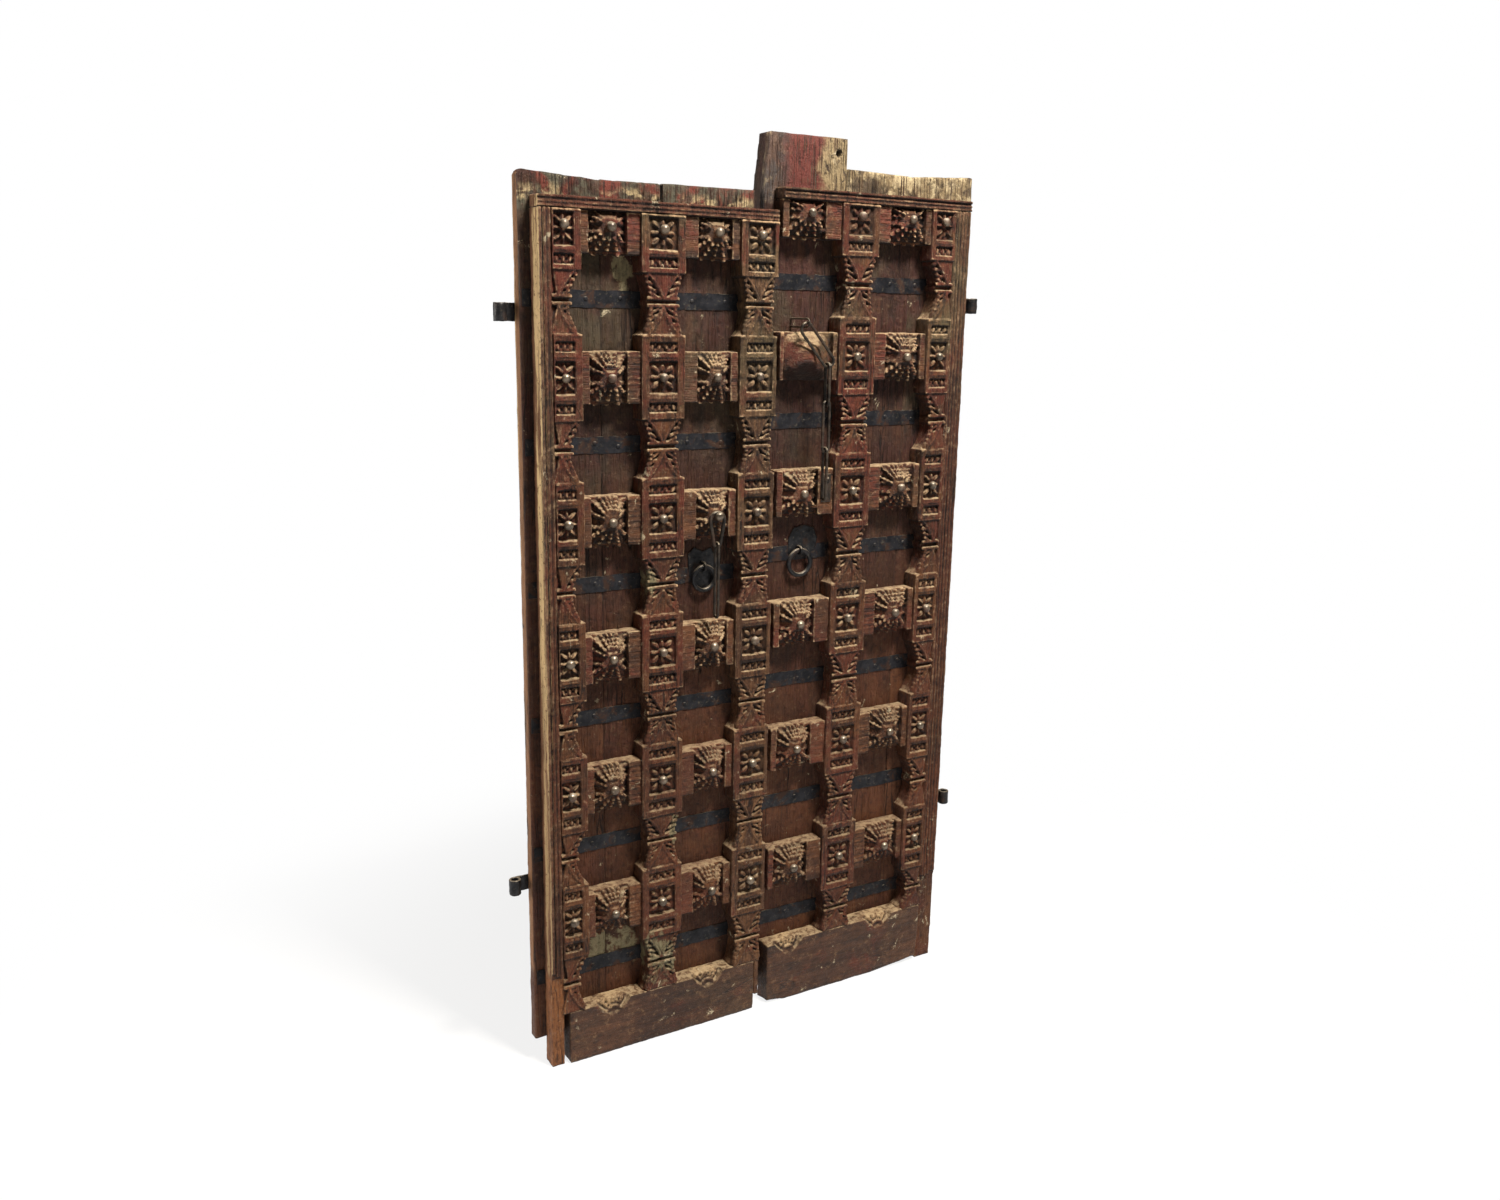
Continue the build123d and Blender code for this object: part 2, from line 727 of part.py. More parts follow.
for side, leaf in leaves.items():
    board_end = leaf["boards"][-1][1] if side == "left" else tall_board[1]
    side_boards = {}
    for index, (low, high, low_top, high_top) in enumerate(leaf["boards"]):
        floor = leaf["boards_bottom"]
        outline = [(low, floor), (high, floor), (high, high_top), (low, low_top)]
        side_boards[f"{side}_board_{index + 1}"] = board(outline, leaf, boards_back, board_end)
    if side == "right":
        low, high = tall_board
        outline = [
            (low, leaf["boards_bottom"]),
            (high, leaf["boards_bottom"]),
            (high, tall_board_chamfer_bottom),
            (high - tall_board_chamfer, tall_board_top),
            (low, tall_board_top),
        ]
        tall = board(outline, leaf, tall_board_back, board_end)
        knot_x, knot_z = knot_place
        knot_mouth = (knot_x, boards_front - 1, knot_z)
        tall -= rod(knot_mouth, (knot_x, boards_front + knot_depth, knot_z), knot_radius)
        side_boards["right_tall_board"] = tall
    half = nail_shank / 2 + nail_hole_gap
    strap_hole_span = (boards_back - strap_nail_depth - 1, boards_back + 1)
    strap_nail_hole = block((-half, half), strap_hole_span, (-half, half))
    hinge_places = [(x, height) for height in leaf["hinges"] for x in strap_nail_places(leaf)]
    hinge_holes = moved_tools(strap_nail_hole, hinge_places)
    iron_holes = staple_holes(ring_pivots[side], ring_eye, (boards_front - 1, ring_leg_back + 1))
    if side == "right":
        iron_holes += staple_holes(chain_pivot, chain_eye, (boards_front - 1, ring_leg_back + 1))
    for name, shape in side_boards.items():
        keep(name, world(leaf, shape.cut(*hinge_holes, *iron_holes)))

    keep(f"{side}_outer_stile", world(leaf, outer_stile(leaf)))
    keep(f"{side}_middle_stile", world(leaf, middle_stile(leaf)))
    if side == "left":
        keep("left_meeting_stile", world(leaf, meeting_stile(leaf)))
    for row, level in enumerate(levels_of(leaf)):
        shape = rail(leaf, level, side)
        if side == "right" and row == hasp_row:
            leg_span = (-1, rail_setback + staple_leg_depth + 1)
            shape = shape.cut(*staple_holes(catch_pivot, catch_eye, leg_span))
        keep(f"{side}_rail_{row + 1}", world(leaf, shape))
    keep(f"{side}_bottom_rail", world(leaf, bottom_rail(leaf)))
    keep(f"{side}_edge_moulding", world(leaf, edge_moulding(leaf)))
    keep(f"{side}_cap", world(leaf, cap(leaf, side)))
    slot = staple_slot(ring_pivots[side], ring_eye, (boards_front - 1, ring_leg_back + 1))
    bands = [shape.cut(slot) for shape in band_blocks(leaf, board_end, 0)]
    keep(f"{side}_bands", [world(leaf, shape) for shape in bands])

    nails = []
    for x, z, seat, back in nail_places(leaf, side):
        hasp_place = (leaf["pyramids"][1][0], levels_of(leaf)[hasp_row])
        hasp_nail = side == "left" and (x, z) == hasp_place
        nails.append(world(leaf, Pos(x, 0, z) * nail(back, seat, long_neck if hasp_nail else 0)))
    for height in leaf["hinges"]:
        nails += [world(leaf, shape) for shape in strap_nails(leaf, height)]
    keep(f"{side}_nails", nails)
    for name, height in zip(("upper", "lower"), leaf["hinges"]):
        keep(f"{side}_{name}_hinge", world(leaf, hinge_strap(leaf, height)))

    keep(f"{side}_ring_plate", world(leaf, ring_plate(side)))
    keep(f"{side}_ring_staple", world(leaf, staple(ring_pivots[side], ring_eye, ring_leg_back)))
    keep(f"{side}_ring", world(leaf, hanging_ring(side)))

# The pear-shaped hasp link on the long nail of the left leaf, with a thin loop hanging from it
left = leaves["left"]
hasp_x = left["pyramids"][1][0]
hasp_z = levels_of(left)[hasp_row]
hasp_y = -pyramid_proud - long_neck / 2
hasp_centre_z = hasp_z + neck_radius + fit_gap + link_wire - hasp_top_bend
hasp_centres = hasp_link_pitch - hasp_top_bend - narrow_bend
hasp_link = bent_link(hasp_top_bend, narrow_bend, hasp_centres, link_wire)
keep("hasp_link", world(left, Pos(hasp_x, hasp_y, hasp_centre_z) * hasp_link))
loop_z = hasp_centre_z - hasp_link_pitch + hasp_top_bend
thin_loop = bent_link(narrow_bend, narrow_bend, thin_loop_pitch - narrow_bend, link_wire)
keep("thin_loop", world(left, Pos(hasp_x, hasp_y, loop_z) * Rot(0, 0, 90) * thin_loop))

# The chain of the right leaf: a wide link leaning on the plain boss, then three narrow ones
right = leaves["right"]
chain_x, _, chain_z = chain_pivot
drop_x, drop_z = chain_first_drop
lean_angle = math.degrees(math.atan2(drop_x, drop_z - 2 * wide_bend))
first_centres = math.hypot(drop_x, drop_z - 2 * wide_bend)
first_link = bent_link(wide_bend, wide_bend, first_centres, link_wire)
placed_first = Pos(chain_x, chain_plane, chain_z - wide_bend) * Rot(0, lean_angle, 0) * first_link
keep("chain_staple", world(right, staple(chain_pivot, chain_eye, ring_leg_back)))
keep("chain_link_1", world(right, placed_first))
link_x = chain_x - drop_x
link_z = chain_z - drop_z
chain_pivots = [chain_pivot, (link_x, chain_plane, link_z)]
for index, pitch in enumerate(chain_pitches):
    link = bent_link(narrow_bend, narrow_bend, pitch - narrow_bend, link_wire)
    turn = 90 if index % 2 == 0 else 0
    placed = Pos(link_x, chain_plane, link_z) * Rot(0, 0, turn) * link
    keep(f"chain_link_{index + 2}", world(right, placed))
    link_z -= pitch
    chain_pivots.append((link_x, chain_plane, link_z))

# The small catch staple on the flat end of a rail, where the chain's last link was hooked
catch_low = catch_place[0] - catch_plate_size[0] / 2
catch_span = (catch_low, catch_low + catch_plate_size[0])
catch_holes = staple_holes(catch_pivot, catch_eye, (0, rail_setback + 1))
catch_plate = block(
    catch_span,
    (rail_setback - catch_plate_thickness, rail_setback),
    (catch_plate_top - catch_plate_size[1], catch_plate_top),
)
keep("catch_plate", world(right, catch_plate.cut(*catch_holes)))
keep("catch_staple", world(right, staple(catch_pivot, catch_eye, rail_setback + staple_leg_depth)))

# The origin is the middle of the foot of the whole door
boxes = [shape.bounding_box() for shape in nodes.values()]
centre_x = (min(box.min.X for box in boxes) + max(box.max.X for box in boxes)) / 2
centre_y = (min(box.min.Y for box in boxes) + max(box.max.Y for box in boxes)) / 2
foot_z = min(box.min.Z for box in boxes)
print(f"origin {centre_x:.4f} {centre_y:.4f} {foot_z:.4f}")
for name, shape in nodes.items():
    export_step(Pos(-centre_x, -centre_y, -foot_z) * shape, f"parts/{name}.step")
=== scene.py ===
import json
import math
import random

import bpy
import numpy as np
from mathutils import Matrix, Quaternion, Vector

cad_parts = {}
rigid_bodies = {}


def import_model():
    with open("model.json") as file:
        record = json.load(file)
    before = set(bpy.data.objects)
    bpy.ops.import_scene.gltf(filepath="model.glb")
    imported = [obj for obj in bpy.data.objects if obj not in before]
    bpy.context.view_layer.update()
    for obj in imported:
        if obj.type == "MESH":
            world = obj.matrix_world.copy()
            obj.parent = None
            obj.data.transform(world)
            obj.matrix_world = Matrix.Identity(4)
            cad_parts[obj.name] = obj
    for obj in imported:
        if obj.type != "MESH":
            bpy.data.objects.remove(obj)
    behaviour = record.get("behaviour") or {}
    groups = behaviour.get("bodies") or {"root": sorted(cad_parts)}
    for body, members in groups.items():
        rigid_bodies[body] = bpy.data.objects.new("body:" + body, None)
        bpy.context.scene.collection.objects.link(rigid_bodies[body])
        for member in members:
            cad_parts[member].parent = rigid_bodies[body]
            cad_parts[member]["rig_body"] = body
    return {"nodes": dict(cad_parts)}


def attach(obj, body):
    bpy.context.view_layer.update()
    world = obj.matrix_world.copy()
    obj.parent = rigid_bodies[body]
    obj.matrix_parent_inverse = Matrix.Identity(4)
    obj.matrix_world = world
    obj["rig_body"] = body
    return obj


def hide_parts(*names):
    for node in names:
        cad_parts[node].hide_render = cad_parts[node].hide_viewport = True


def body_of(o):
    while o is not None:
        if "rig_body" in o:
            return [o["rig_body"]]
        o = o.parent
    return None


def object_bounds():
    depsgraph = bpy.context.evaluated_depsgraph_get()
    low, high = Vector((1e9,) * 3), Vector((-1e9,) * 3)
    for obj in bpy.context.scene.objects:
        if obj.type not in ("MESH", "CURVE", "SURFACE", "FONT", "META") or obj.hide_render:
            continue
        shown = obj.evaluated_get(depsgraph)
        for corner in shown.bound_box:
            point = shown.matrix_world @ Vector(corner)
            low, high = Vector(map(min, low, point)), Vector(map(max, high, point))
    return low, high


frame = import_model()
cadBox = [list(corner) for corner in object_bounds()]
random.seed(11)
bpy.context.tool_settings.mesh_select_mode = (False, False, True)
print("frame loaded")

# Sizes are in millimetres: x from the outer edge of the left lattice, y from the front of
# the carved blocks, z from the floor. Places in a shader are in metres, as in the frame.
door = {"middleX": 536.0, "middleY": 36.275}
leaves = {
    "left": {"start": 0, "direction": 1, "top": 1839, "firstLevel": 1810, "pitch": 293, "footTop": 127},
    "right": {"start": 1061, "direction": -1, "top": 1888, "firstLevel": 1862, "pitch": 302, "footTop": 155},
}
rowCount = 6
blockHalf = 86
railHalf = 52.5
latticeBack = 48
boardBack = 73
tallBack = 100


def at(x, y, z):
    return Vector(((x - door["middleX"]) / 1000, (y - door["middleY"]) / 1000, z / 1000))


def onLeaf(leaf, s):
    # s is counted from the leaf's outer edge towards the other leaf
    return leaf["start"] + leaf["direction"] * s


def spanOf(leaf, low, high):
    ends = [onLeaf(leaf, s) for s in (low, high)]
    return min(ends), max(ends)


def leafOf(name):
    side = name.split("_")[0]
    return side, leaves[side]


def levelsOf(leaf):
    return [leaf["firstLevel"] - leaf["pitch"] * row for row in range(rowCount)]


def fromUp(angle, reach):
    # how far across and up a point lies that is this far away, at this angle from upright
    return math.sin(math.radians(angle)) * reach, math.cos(math.radians(angle)) * reach


# small modelling helpers


def deselectAll():
    bpy.ops.object.select_all(action="DESELECT")


def activate(piece):
    deselectAll()
    piece.select_set(True)
    bpy.context.view_layer.objects.active = piece


def settle(piece):
    piece.data.transform(piece.matrix_basis)
    piece.matrix_basis = Matrix.Identity(4)
    return piece


def addCube(low, high):
    deselectAll()
    bpy.ops.mesh.primitive_cube_add(size=1, location=(low + high) / 2)
    cube = bpy.context.object
    cube.scale = high - low
    return settle(cube)


def slabOf(xSpan, ySpan, zSpan):
    return addCube(at(xSpan[0], ySpan[0], zSpan[0]), at(xSpan[1], ySpan[1], zSpan[1]))


def addRod(start, end, radius, sides=10):
    deselectAll()
    along = end - start
    size = {"vertices": sides, "radius": radius / 1000, "depth": along.length}
    bpy.ops.mesh.primitive_cylinder_add(location=(start + end) / 2, **size)
    rod = bpy.context.object
    rod.rotation_mode = "QUATERNION"
    rod.rotation_quaternion = along.to_track_quat("Z", "Y")
    return settle(rod)


def levelRod(span, y, z, radius, sides=10):
    return addRod(at(span[0], y, z), at(span[1], y, z), radius, sides)


def newObject(name, data):
    item = bpy.data.objects.new(name, data)
    bpy.context.scene.collection.objects.link(item)
    return item


def copyAt(piece, matrix):
    twin = newObject(piece.name, piece.data.copy())
    twin.data.transform(matrix)
    return twin


def drop(*pieces):
    for piece in pieces:
        mesh = piece.data
        bpy.data.objects.remove(piece)
        bpy.data.meshes.remove(mesh)


def joinAll(parts, name):
    deselectAll()
    for part in parts:
        part.select_set(True)
    bpy.context.view_layer.objects.active = parts[0]
    if len(parts) > 1:
        bpy.ops.object.join()
    piece = bpy.context.object
    piece.name = name
    return piece


def applyModifier(piece, kind, **settings):
    activate(piece)
    modifier = piece.modifiers.new(kind.lower(), kind)
    for key, value in settings.items():
        setattr(modifier, key, value)
    bpy.ops.object.modifier_apply(modifier=modifier.name)


def editAll(piece):
    activate(piece)
    bpy.ops.object.mode_set(mode="EDIT")
    bpy.ops.mesh.select_all(action="SELECT")


def slicePiece(place, normal, **settings):
    bpy.ops.mesh.select_all(action="SELECT")
    bpy.ops.mesh.bisect(plane_co=place, plane_no=normal, **settings)


def extrude(*shift):
    bpy.ops.mesh.extrude_region_move(TRANSFORM_OT_translate={"value": Vector(shift) / 1000})


def resize(value, centre):
    bpy.ops.transform.resize(value=value, center_override=centre)


def cutAway(piece, cutter):
    applyModifier(piece, "BOOLEAN", operation="DIFFERENCE", object=cutter, solver="EXACT")
    drop(cutter)


def selectFaces(piece, test):
    mesh = piece.data
    for item in list(mesh.vertices) + list(mesh.edges):
        item.select = False
    for face in mesh.polygons:
        face.select = test(face)
    activate(piece)
    bpy.ops.object.mode_set(mode="EDIT")


def leaveEdit():
    bpy.ops.object.mode_set(mode="OBJECT")


def resizeAcross(oldLow, oldHigh, newLow, newHigh):
    # widens, narrows or shifts what is selected, from one pair of x edges to another
    ratio = (newHigh - newLow) / (oldHigh - oldLow)
    if abs(ratio - 1) < 1e-6:
        bpy.ops.transform.translate(value=((newLow - oldLow) / 1000, 0, 0))
        return
    fixed = (newLow - oldLow * ratio) / (1 - ratio)
    resize((ratio, 1, 1), at(fixed, 0, 0))


# a small ball that every bead, petal and carved lobe starts from
deselectAll()
bpy.ops.mesh.primitive_uv_sphere_add(segments=10, ring_count=7, radius=1)
ball = bpy.context.object
ball.name = "ballPattern"


def lobe(x, y, z, radii, turn=0.0, lean=0.0):
    # turn swings it in the door's plane, lean tips it towards the front
    rotation = Quaternion((0, 1, 0), math.radians(turn)) @ Quaternion((1, 0, 0), math.radians(lean))
    matrix = Matrix.LocRotScale(at(x, y, z), rotation, Vector(radii) / 1000)
    return copyAt(ball, matrix)


# weathering: one skin, hand-cut unevenness, and a mask of edges and hollows, which the finishes make into
# rubbed edges with a painted highlight and into painted shade in the hollows

skin = {"voxel": 0.0019, "quickVoxel": 0.0034, "edgeScale": 0.0013, "softReach": 0.0068, "inside": 2e-5}
# how many triangles a piece of each kind keeps
budgets = {
    "stile": 78000,
    "rail": 20000,
    "foot": 18000,
    "cap": 12000,
    "edge": 22000,
    "board": 15000,
    "forged": 7000,
    "hinge": 9000,
    "small": 4000,
}


def cloudTexture(name, size, depth=2):
    texture = bpy.data.textures.new(name, "CLOUDS")
    texture.noise_scale = size
    texture.noise_depth = depth
    return texture


unevenTexture = cloudTexture("uneven", 0.035)
toolTexture = cloudTexture("toolMarks", 0.009)
grainTexture = cloudTexture("grainLines", 0.012, 3)
grainGuides = {}
for axis, scale in (("Z", (1, 1, 14)), ("X", (14, 1, 1))):
    guide = newObject("grainGuide" + axis, None)
    guide.scale = scale
    grainGuides[axis] = guide
bpy.context.view_layer.update()


def readAll(items, field):
    values = np.empty(len(items) * 3, np.float32)
    items.foreach_get(field, values)
    return values.reshape(-1, 3)


def writePoints(mesh, points):
    mesh.vertices.foreach_set("co", points.astype(np.float32).reshape(-1))
    mesh.update()


def markEdgesAndHollows(piece, size):
    # how far each point stands out of its smoothed surroundings
    mesh = piece.data
    here = readAll(mesh.vertices, "co")
    normals = readAll(mesh.vertex_normals, "vector")
    soft = piece.modifiers.new("soft", "SMOOTH")
    soft.factor = 0.5
    soft.iterations = max(2, round((skin["softReach"] / size) ** 2))
    graph = bpy.context.evaluated_depsgraph_get()
    there = readAll(piece.evaluated_get(graph).to_mesh().vertices, "co")
    piece.evaluated_get(graph).to_mesh_clear()
    piece.modifiers.remove(soft)
    lift = ((here - there) * normals).sum(1)
    attribute = mesh.attributes.new("edgesAndHollows", "FLOAT", "POINT")
    attribute.data.foreach_set("value", np.clip(lift / skin["edgeScale"], -1, 1))


def dent(piece, texture, strength, guide=None):
    settings = {"texture": texture, "strength": strength, "mid_level": 0.5, "texture_coords": "LOCAL"}
    if guide:
        settings.update(texture_coords="OBJECT", texture_coords_object=guide)
    applyModifier(piece, "DISPLACE", **settings)


def thinOut(piece, kind):
    applyModifier(piece, "DECIMATE", ratio=min(1, budgets[kind] / (2 * len(piece.data.polygons))))
    activate(piece)
    bpy.ops.object.shade_smooth()


def weather(piece, kind, grain="Z", uneven=0.0022, tool=0.0014, lines=0.0012, voxel=1.0):
    size = skin["voxel"] * voxel
    applyModifier(piece, "REMESH", mode="VOXEL", voxel_size=size)
    dent(piece, unevenTexture, uneven)
    dent(piece, toolTexture, tool)
    dent(piece, grainTexture, lines, grainGuides[grain])
    markEdgesAndHollows(piece, size)
    thinOut(piece, kind)


def wearDown(piece, place, reach, shift):
    # pushes the points near a place, fading out with distance, as years of knocks do
    points = readAll(piece.data.vertices, "co")
    away = np.linalg.norm((points - np.array(place)) / (np.array(reach) / 1000), axis=1)
    near = np.clip(1 - away, 0, 1)
    share = near**2 * (3 - 2 * near)
    points += share[:, None] * np.array(shift) / 1000
    writePoints(piece.data, points)


def bleach(piece, *spots):
    # marks where paint has gone and the wood is pale; each spot is x, z and its reach along both
    points = readAll(piece.data.vertices, "co")
    pale = np.zeros(len(points), np.float32)
    for x, z, reachX, reachZ in spots:
        centre = at(x, 0, z)
        away = np.hypot((points[:, 0] - centre.x) / reachX, (points[:, 2] - centre.z) / reachZ) * 1000
        pale = np.maximum(pale, np.clip(1.4 - away, 0, 1))
    piece.data.attributes.new("pale", "FLOAT", "POINT").data.foreach_set("value", pale)


def keepPiece(piece, body, finish, node):
    # weathering never takes a piece past the solids' own box
    low, high = np.array(cadBox[0]) + skin["inside"], np.array(cadBox[1]) - skin["inside"]
    writePoints(piece.data, np.clip(readAll(piece.data.vertices, "co"), low, high))
    piece.data.materials.clear()
    piece.data.materials.append(finishes[finish])
    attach(piece, body)
    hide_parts(node)


# shader trees: nodes are put into the tree that was opened last

drawing = {}


def openTree(owner):
    owner.use_nodes = True
    drawing["tree"] = owner.node_tree
    return owner.node_tree.nodes


def fill(node, inputs):
    for key, value in inputs.items():
        if isinstance(value, bpy.types.NodeSocket):
            drawing["tree"].links.new(value, node.inputs[key])
        else:
            node.inputs[key].default_value = value
    return node.outputs


def put(kind, inputs=(), **settings):
    node = drawing["tree"].nodes.new("ShaderNode" + kind)
    for key, value in settings.items():
        setattr(node, key, value)
    return fill(node, dict(inputs))


def ramp(value, low, high, outLow=0.0, outHigh=1.0):
    inputs = {0: value, 1: low, 2: high, 3: outLow, 4: outHigh}
    return put("MapRange", inputs, interpolation_type="SMOOTHSTEP")[0]


def maths(operation, *values, clamp=False):
    result = values[0]
    for value in values[1:]:
        result = put("Math", {0: result, 1: value}, operation=operation, use_clamp=clamp)[0]
    return result


def product(*values, clamp=False):
    return maths("MULTIPLY", *values, clamp=clamp)


def total(*values, clamp=False):
    return maths("ADD", *values, clamp=clamp)


def less(first, second):
    return maths("SUBTRACT", first, second)


def noise(vector, scale, detail=4.0, roughness=0.55, distortion=0.0):
    inputs = {"Vector": vector, "Scale": scale, "Detail": detail, "Roughness": roughness}
    return put("TexNoise", dict(inputs, Distortion=distortion))["Fac"]


def vectorMath(operation, *vectors):
    return put("VectorMath", enumerate(vectors), operation=operation)[0]


def axesOf(vector):
    return put("SeparateXYZ", {0: vector})


# groups are built once and used by several materials; each ends by filling its outputs
groups = {}


def useGroup(name, **inputs):
    return put("Group", inputs, node_tree=groups[name])


def startGroup(name, outputs, **inputs):
    tree = bpy.data.node_groups.new(name, "ShaderNodeTree")
    for label, value in inputs.items():
        kind = "Float" if isinstance(value, float) else "Vector"
        socket = tree.interface.new_socket(name=label, in_out="INPUT", socket_type="NodeSocket" + kind)
        if value is not None:
            socket.default_value = value
    for label in outputs:
        tree.interface.new_socket(name=label, in_out="OUTPUT", socket_type="NodeSocketFloat")
    drawing["tree"] = tree
    groups[name] = tree
    return tree.nodes.new("NodeGroupInput").outputs, tree.nodes.new("NodeGroupOutput")


given, result = startGroup("woodGrain", ("Streaks", "Fibres", "Cracks"), Vector=None, Stretch=(1, 1, 1))
stretched = vectorMath("MULTIPLY", given["Vector"], given["Stretch"])
offLine = maths("ABSOLUTE", less(noise(stretched, 0.8, 3.0, 0.5, 0.8), 0.5), 0.0)
broken = ramp(noise(given["Vector"], 5.0, 2.0), 0.48, 0.6)
fill(
    result,
    {
        "Streaks": ramp(noise(stretched, 1.0, 6.0, 0.6, 0.4), 0.32, 0.68),
        "Fibres": ramp(noise(stretched, 6.0, 5.0, 0.65), 0.25, 0.75),
        "Cracks": product(ramp(offLine, 0.004, 0.016, 1.0, 0.0), broken),
    },
)

given, result = startGroup("wornPatches", ("Mask",), Vector=None, Size=8.0, Share=0.5, Soft=0.06)
field = noise(given["Vector"], given["Size"], 8.0, 0.66, 0.5)
centre = total(product(less(1.0, given["Share"]), 0.44), 0.28)
mask = ramp(field, less(centre, given["Soft"]), total(centre, given["Soft"]))
fill(result, {"Mask": mask})

# Edges: rubbed edges, also used as a painted highlight; ShadedHollows: painted shade laid into the hollows
given, result = startGroup("edgeWearHighlightAndShade", ("Edges", "ShadedHollows"), Vector=None, Amount=1.0)
edgesAndHollows = put("Attribute", attribute_name="edgesAndHollows")["Fac"]
broken = total(edgesAndHollows, product(less(noise(given["Vector"], 38.0, 5.0, 0.7), 0.5), 0.9))
edges = product(ramp(broken, 0.38, 0.9), given["Amount"], clamp=True)
fill(result, {"Edges": edges, "ShadedHollows": ramp(product(edgesAndHollows, -1.0), 0.04, 0.55)})

# Ledges: faces turned up, for dust and a painted highlight; ShadeUnder: faces turned down, for painted
# shade; Outside: the door's outer side faces, whose colour is partly painted light
sides = ("Ledges", "ShadeUnder", "Outside", "Strip")
given, result = startGroup("ledgeDustHighlightAndShade", sides, Vector=None, Place=None)
# read in the piece's own space, so that a leaf swung open keeps its dust, its painted highlights and its
# painted shade where they lay
spaces = {"vector_type": "NORMAL", "convert_from": "WORLD", "convert_to": "OBJECT"}
facing = axesOf(put("VectorTransform", {0: put("NewGeometry")["Normal"]}, **spaces)[0])
spot = axesOf(given["Place"])
ragged = product(less(noise(given["Vector"], 22.0, 6.0, 0.7), 0.5), 0.9)
sideways = ramp(maths("ABSOLUTE", facing["X"], 0.0), 0.7, 0.9)
outermost = ramp(maths("ABSOLUTE", spot["X"], 0.0), 0.519, 0.522)
outside = product(sideways, outermost, ramp(spot["Z"], 0.21, 0.24))
depth = total(spot["Y"], product(less(noise(given["Vector"], 7.0, 4.0), 0.5), 0.024))
bands = total(ramp(depth, -0.003, -0.008), ramp(depth, 0.029, 0.033), clamp=True)
fill(
    result,
    {
        "Ledges": ramp(total(facing["Z"], ragged), 0.36, 0.85),
        "ShadeUnder": ramp(product(facing["Z"], -1.0), 0.02, 0.6),
        "Outside": outside,
        "Strip": product(outside, bands, ramp(spot["Z"], 0.3, 1.2, 0.5, 1.0)),
    },
)
print("shader groups built")


def blend(factor, first, second):
    return put("Mix", {0: factor, 6: first, 7: second}, data_type="RGBA")[2]


def shade(red, green, blue):
    # a colour as seen on screen, 0 to 255
    parts = (value / 255 for value in (red, green, blue))
    linear = [part / 12.92 if part <= 0.04045 else ((part + 0.055) / 1.055) ** 2.4 for part in parts]
    return (*linear, 1)


def layered(look, base, layers):
    # each layer is a colour, or its name in the look, and the masks that it is laid on by
    colour = shade(*look[base])
    for top, *masks in layers:
        top = look[top] if isinstance(top, str) else top
        colour = blend(product(*masks), colour, shade(*top))
    return colour


def startMaterial(name, offset):
    material = bpy.data.materials.new(name)
    bsdf = openTree(material)["Principled BSDF"]
    place = put("TexCoord")["Object"]
    return material, bsdf, vectorMath("ADD", place, offset), place


def patches(moved, size, share, soft):
    return useGroup("wornPatches", Vector=moved, Size=size, Share=share, Soft=soft)["Mask"]


def zoneMask(place, *limits):
    # each limit is an axis, the height on it where the mask is 0 and the one where it is 1
    axes = axesOf(place)
    return product(*[ramp(axes[axis], empty, full) for axis, empty, full in limits])


# what every wooden finish starts from; each finish below changes some of it
woodLook = {
    "offset": (0, 0, 0),
    "stretch": (55, 55, 3),
    "dark": (50, 27, 12),
    "light": (116, 70, 37),
    "paint": (108, 46, 30),
    "paintShare": 0.5,
    "tint": (96, 88, 60),
    "tintShare": 0.3,
    "tintFrom": (0.9, 1.8),
    "warm": (112, 66, 34),
    "warmAmount": 0.6,
    # rubbed edges, lightened also as a painted highlight
    "worn": (200, 166, 126),
    "wornAndHighlightAmount": 0.8,
    "lowWear": 0.5,
    # faces turned up: dust and a painted highlight
    "ledge": (204, 178, 138),
    "ledgeAmount": 0.75,
    # the door's outer side faces: a wood colour, set lighter as painted light on that side
    "outside": (104, 66, 40),
    "strip": (204, 174, 126),
    # dark dirt in the mottle and cracks, and also painted shade in the hollows and on faces turned down
    "grime": (20, 11, 7),
    "hollowShadeAmount": 0.9,
    "flake": (186, 172, 142),
    "flakeShare": 0.15,
    "stainShare": 0.42,
    "chip": (152, 122, 94),
    "mottle": 0.6,
    "pale": (134, 124, 92),
    "fibres": 0.4,
    "zones": (),
    "gloss": 0.5,
    "relief": 1.0,
}


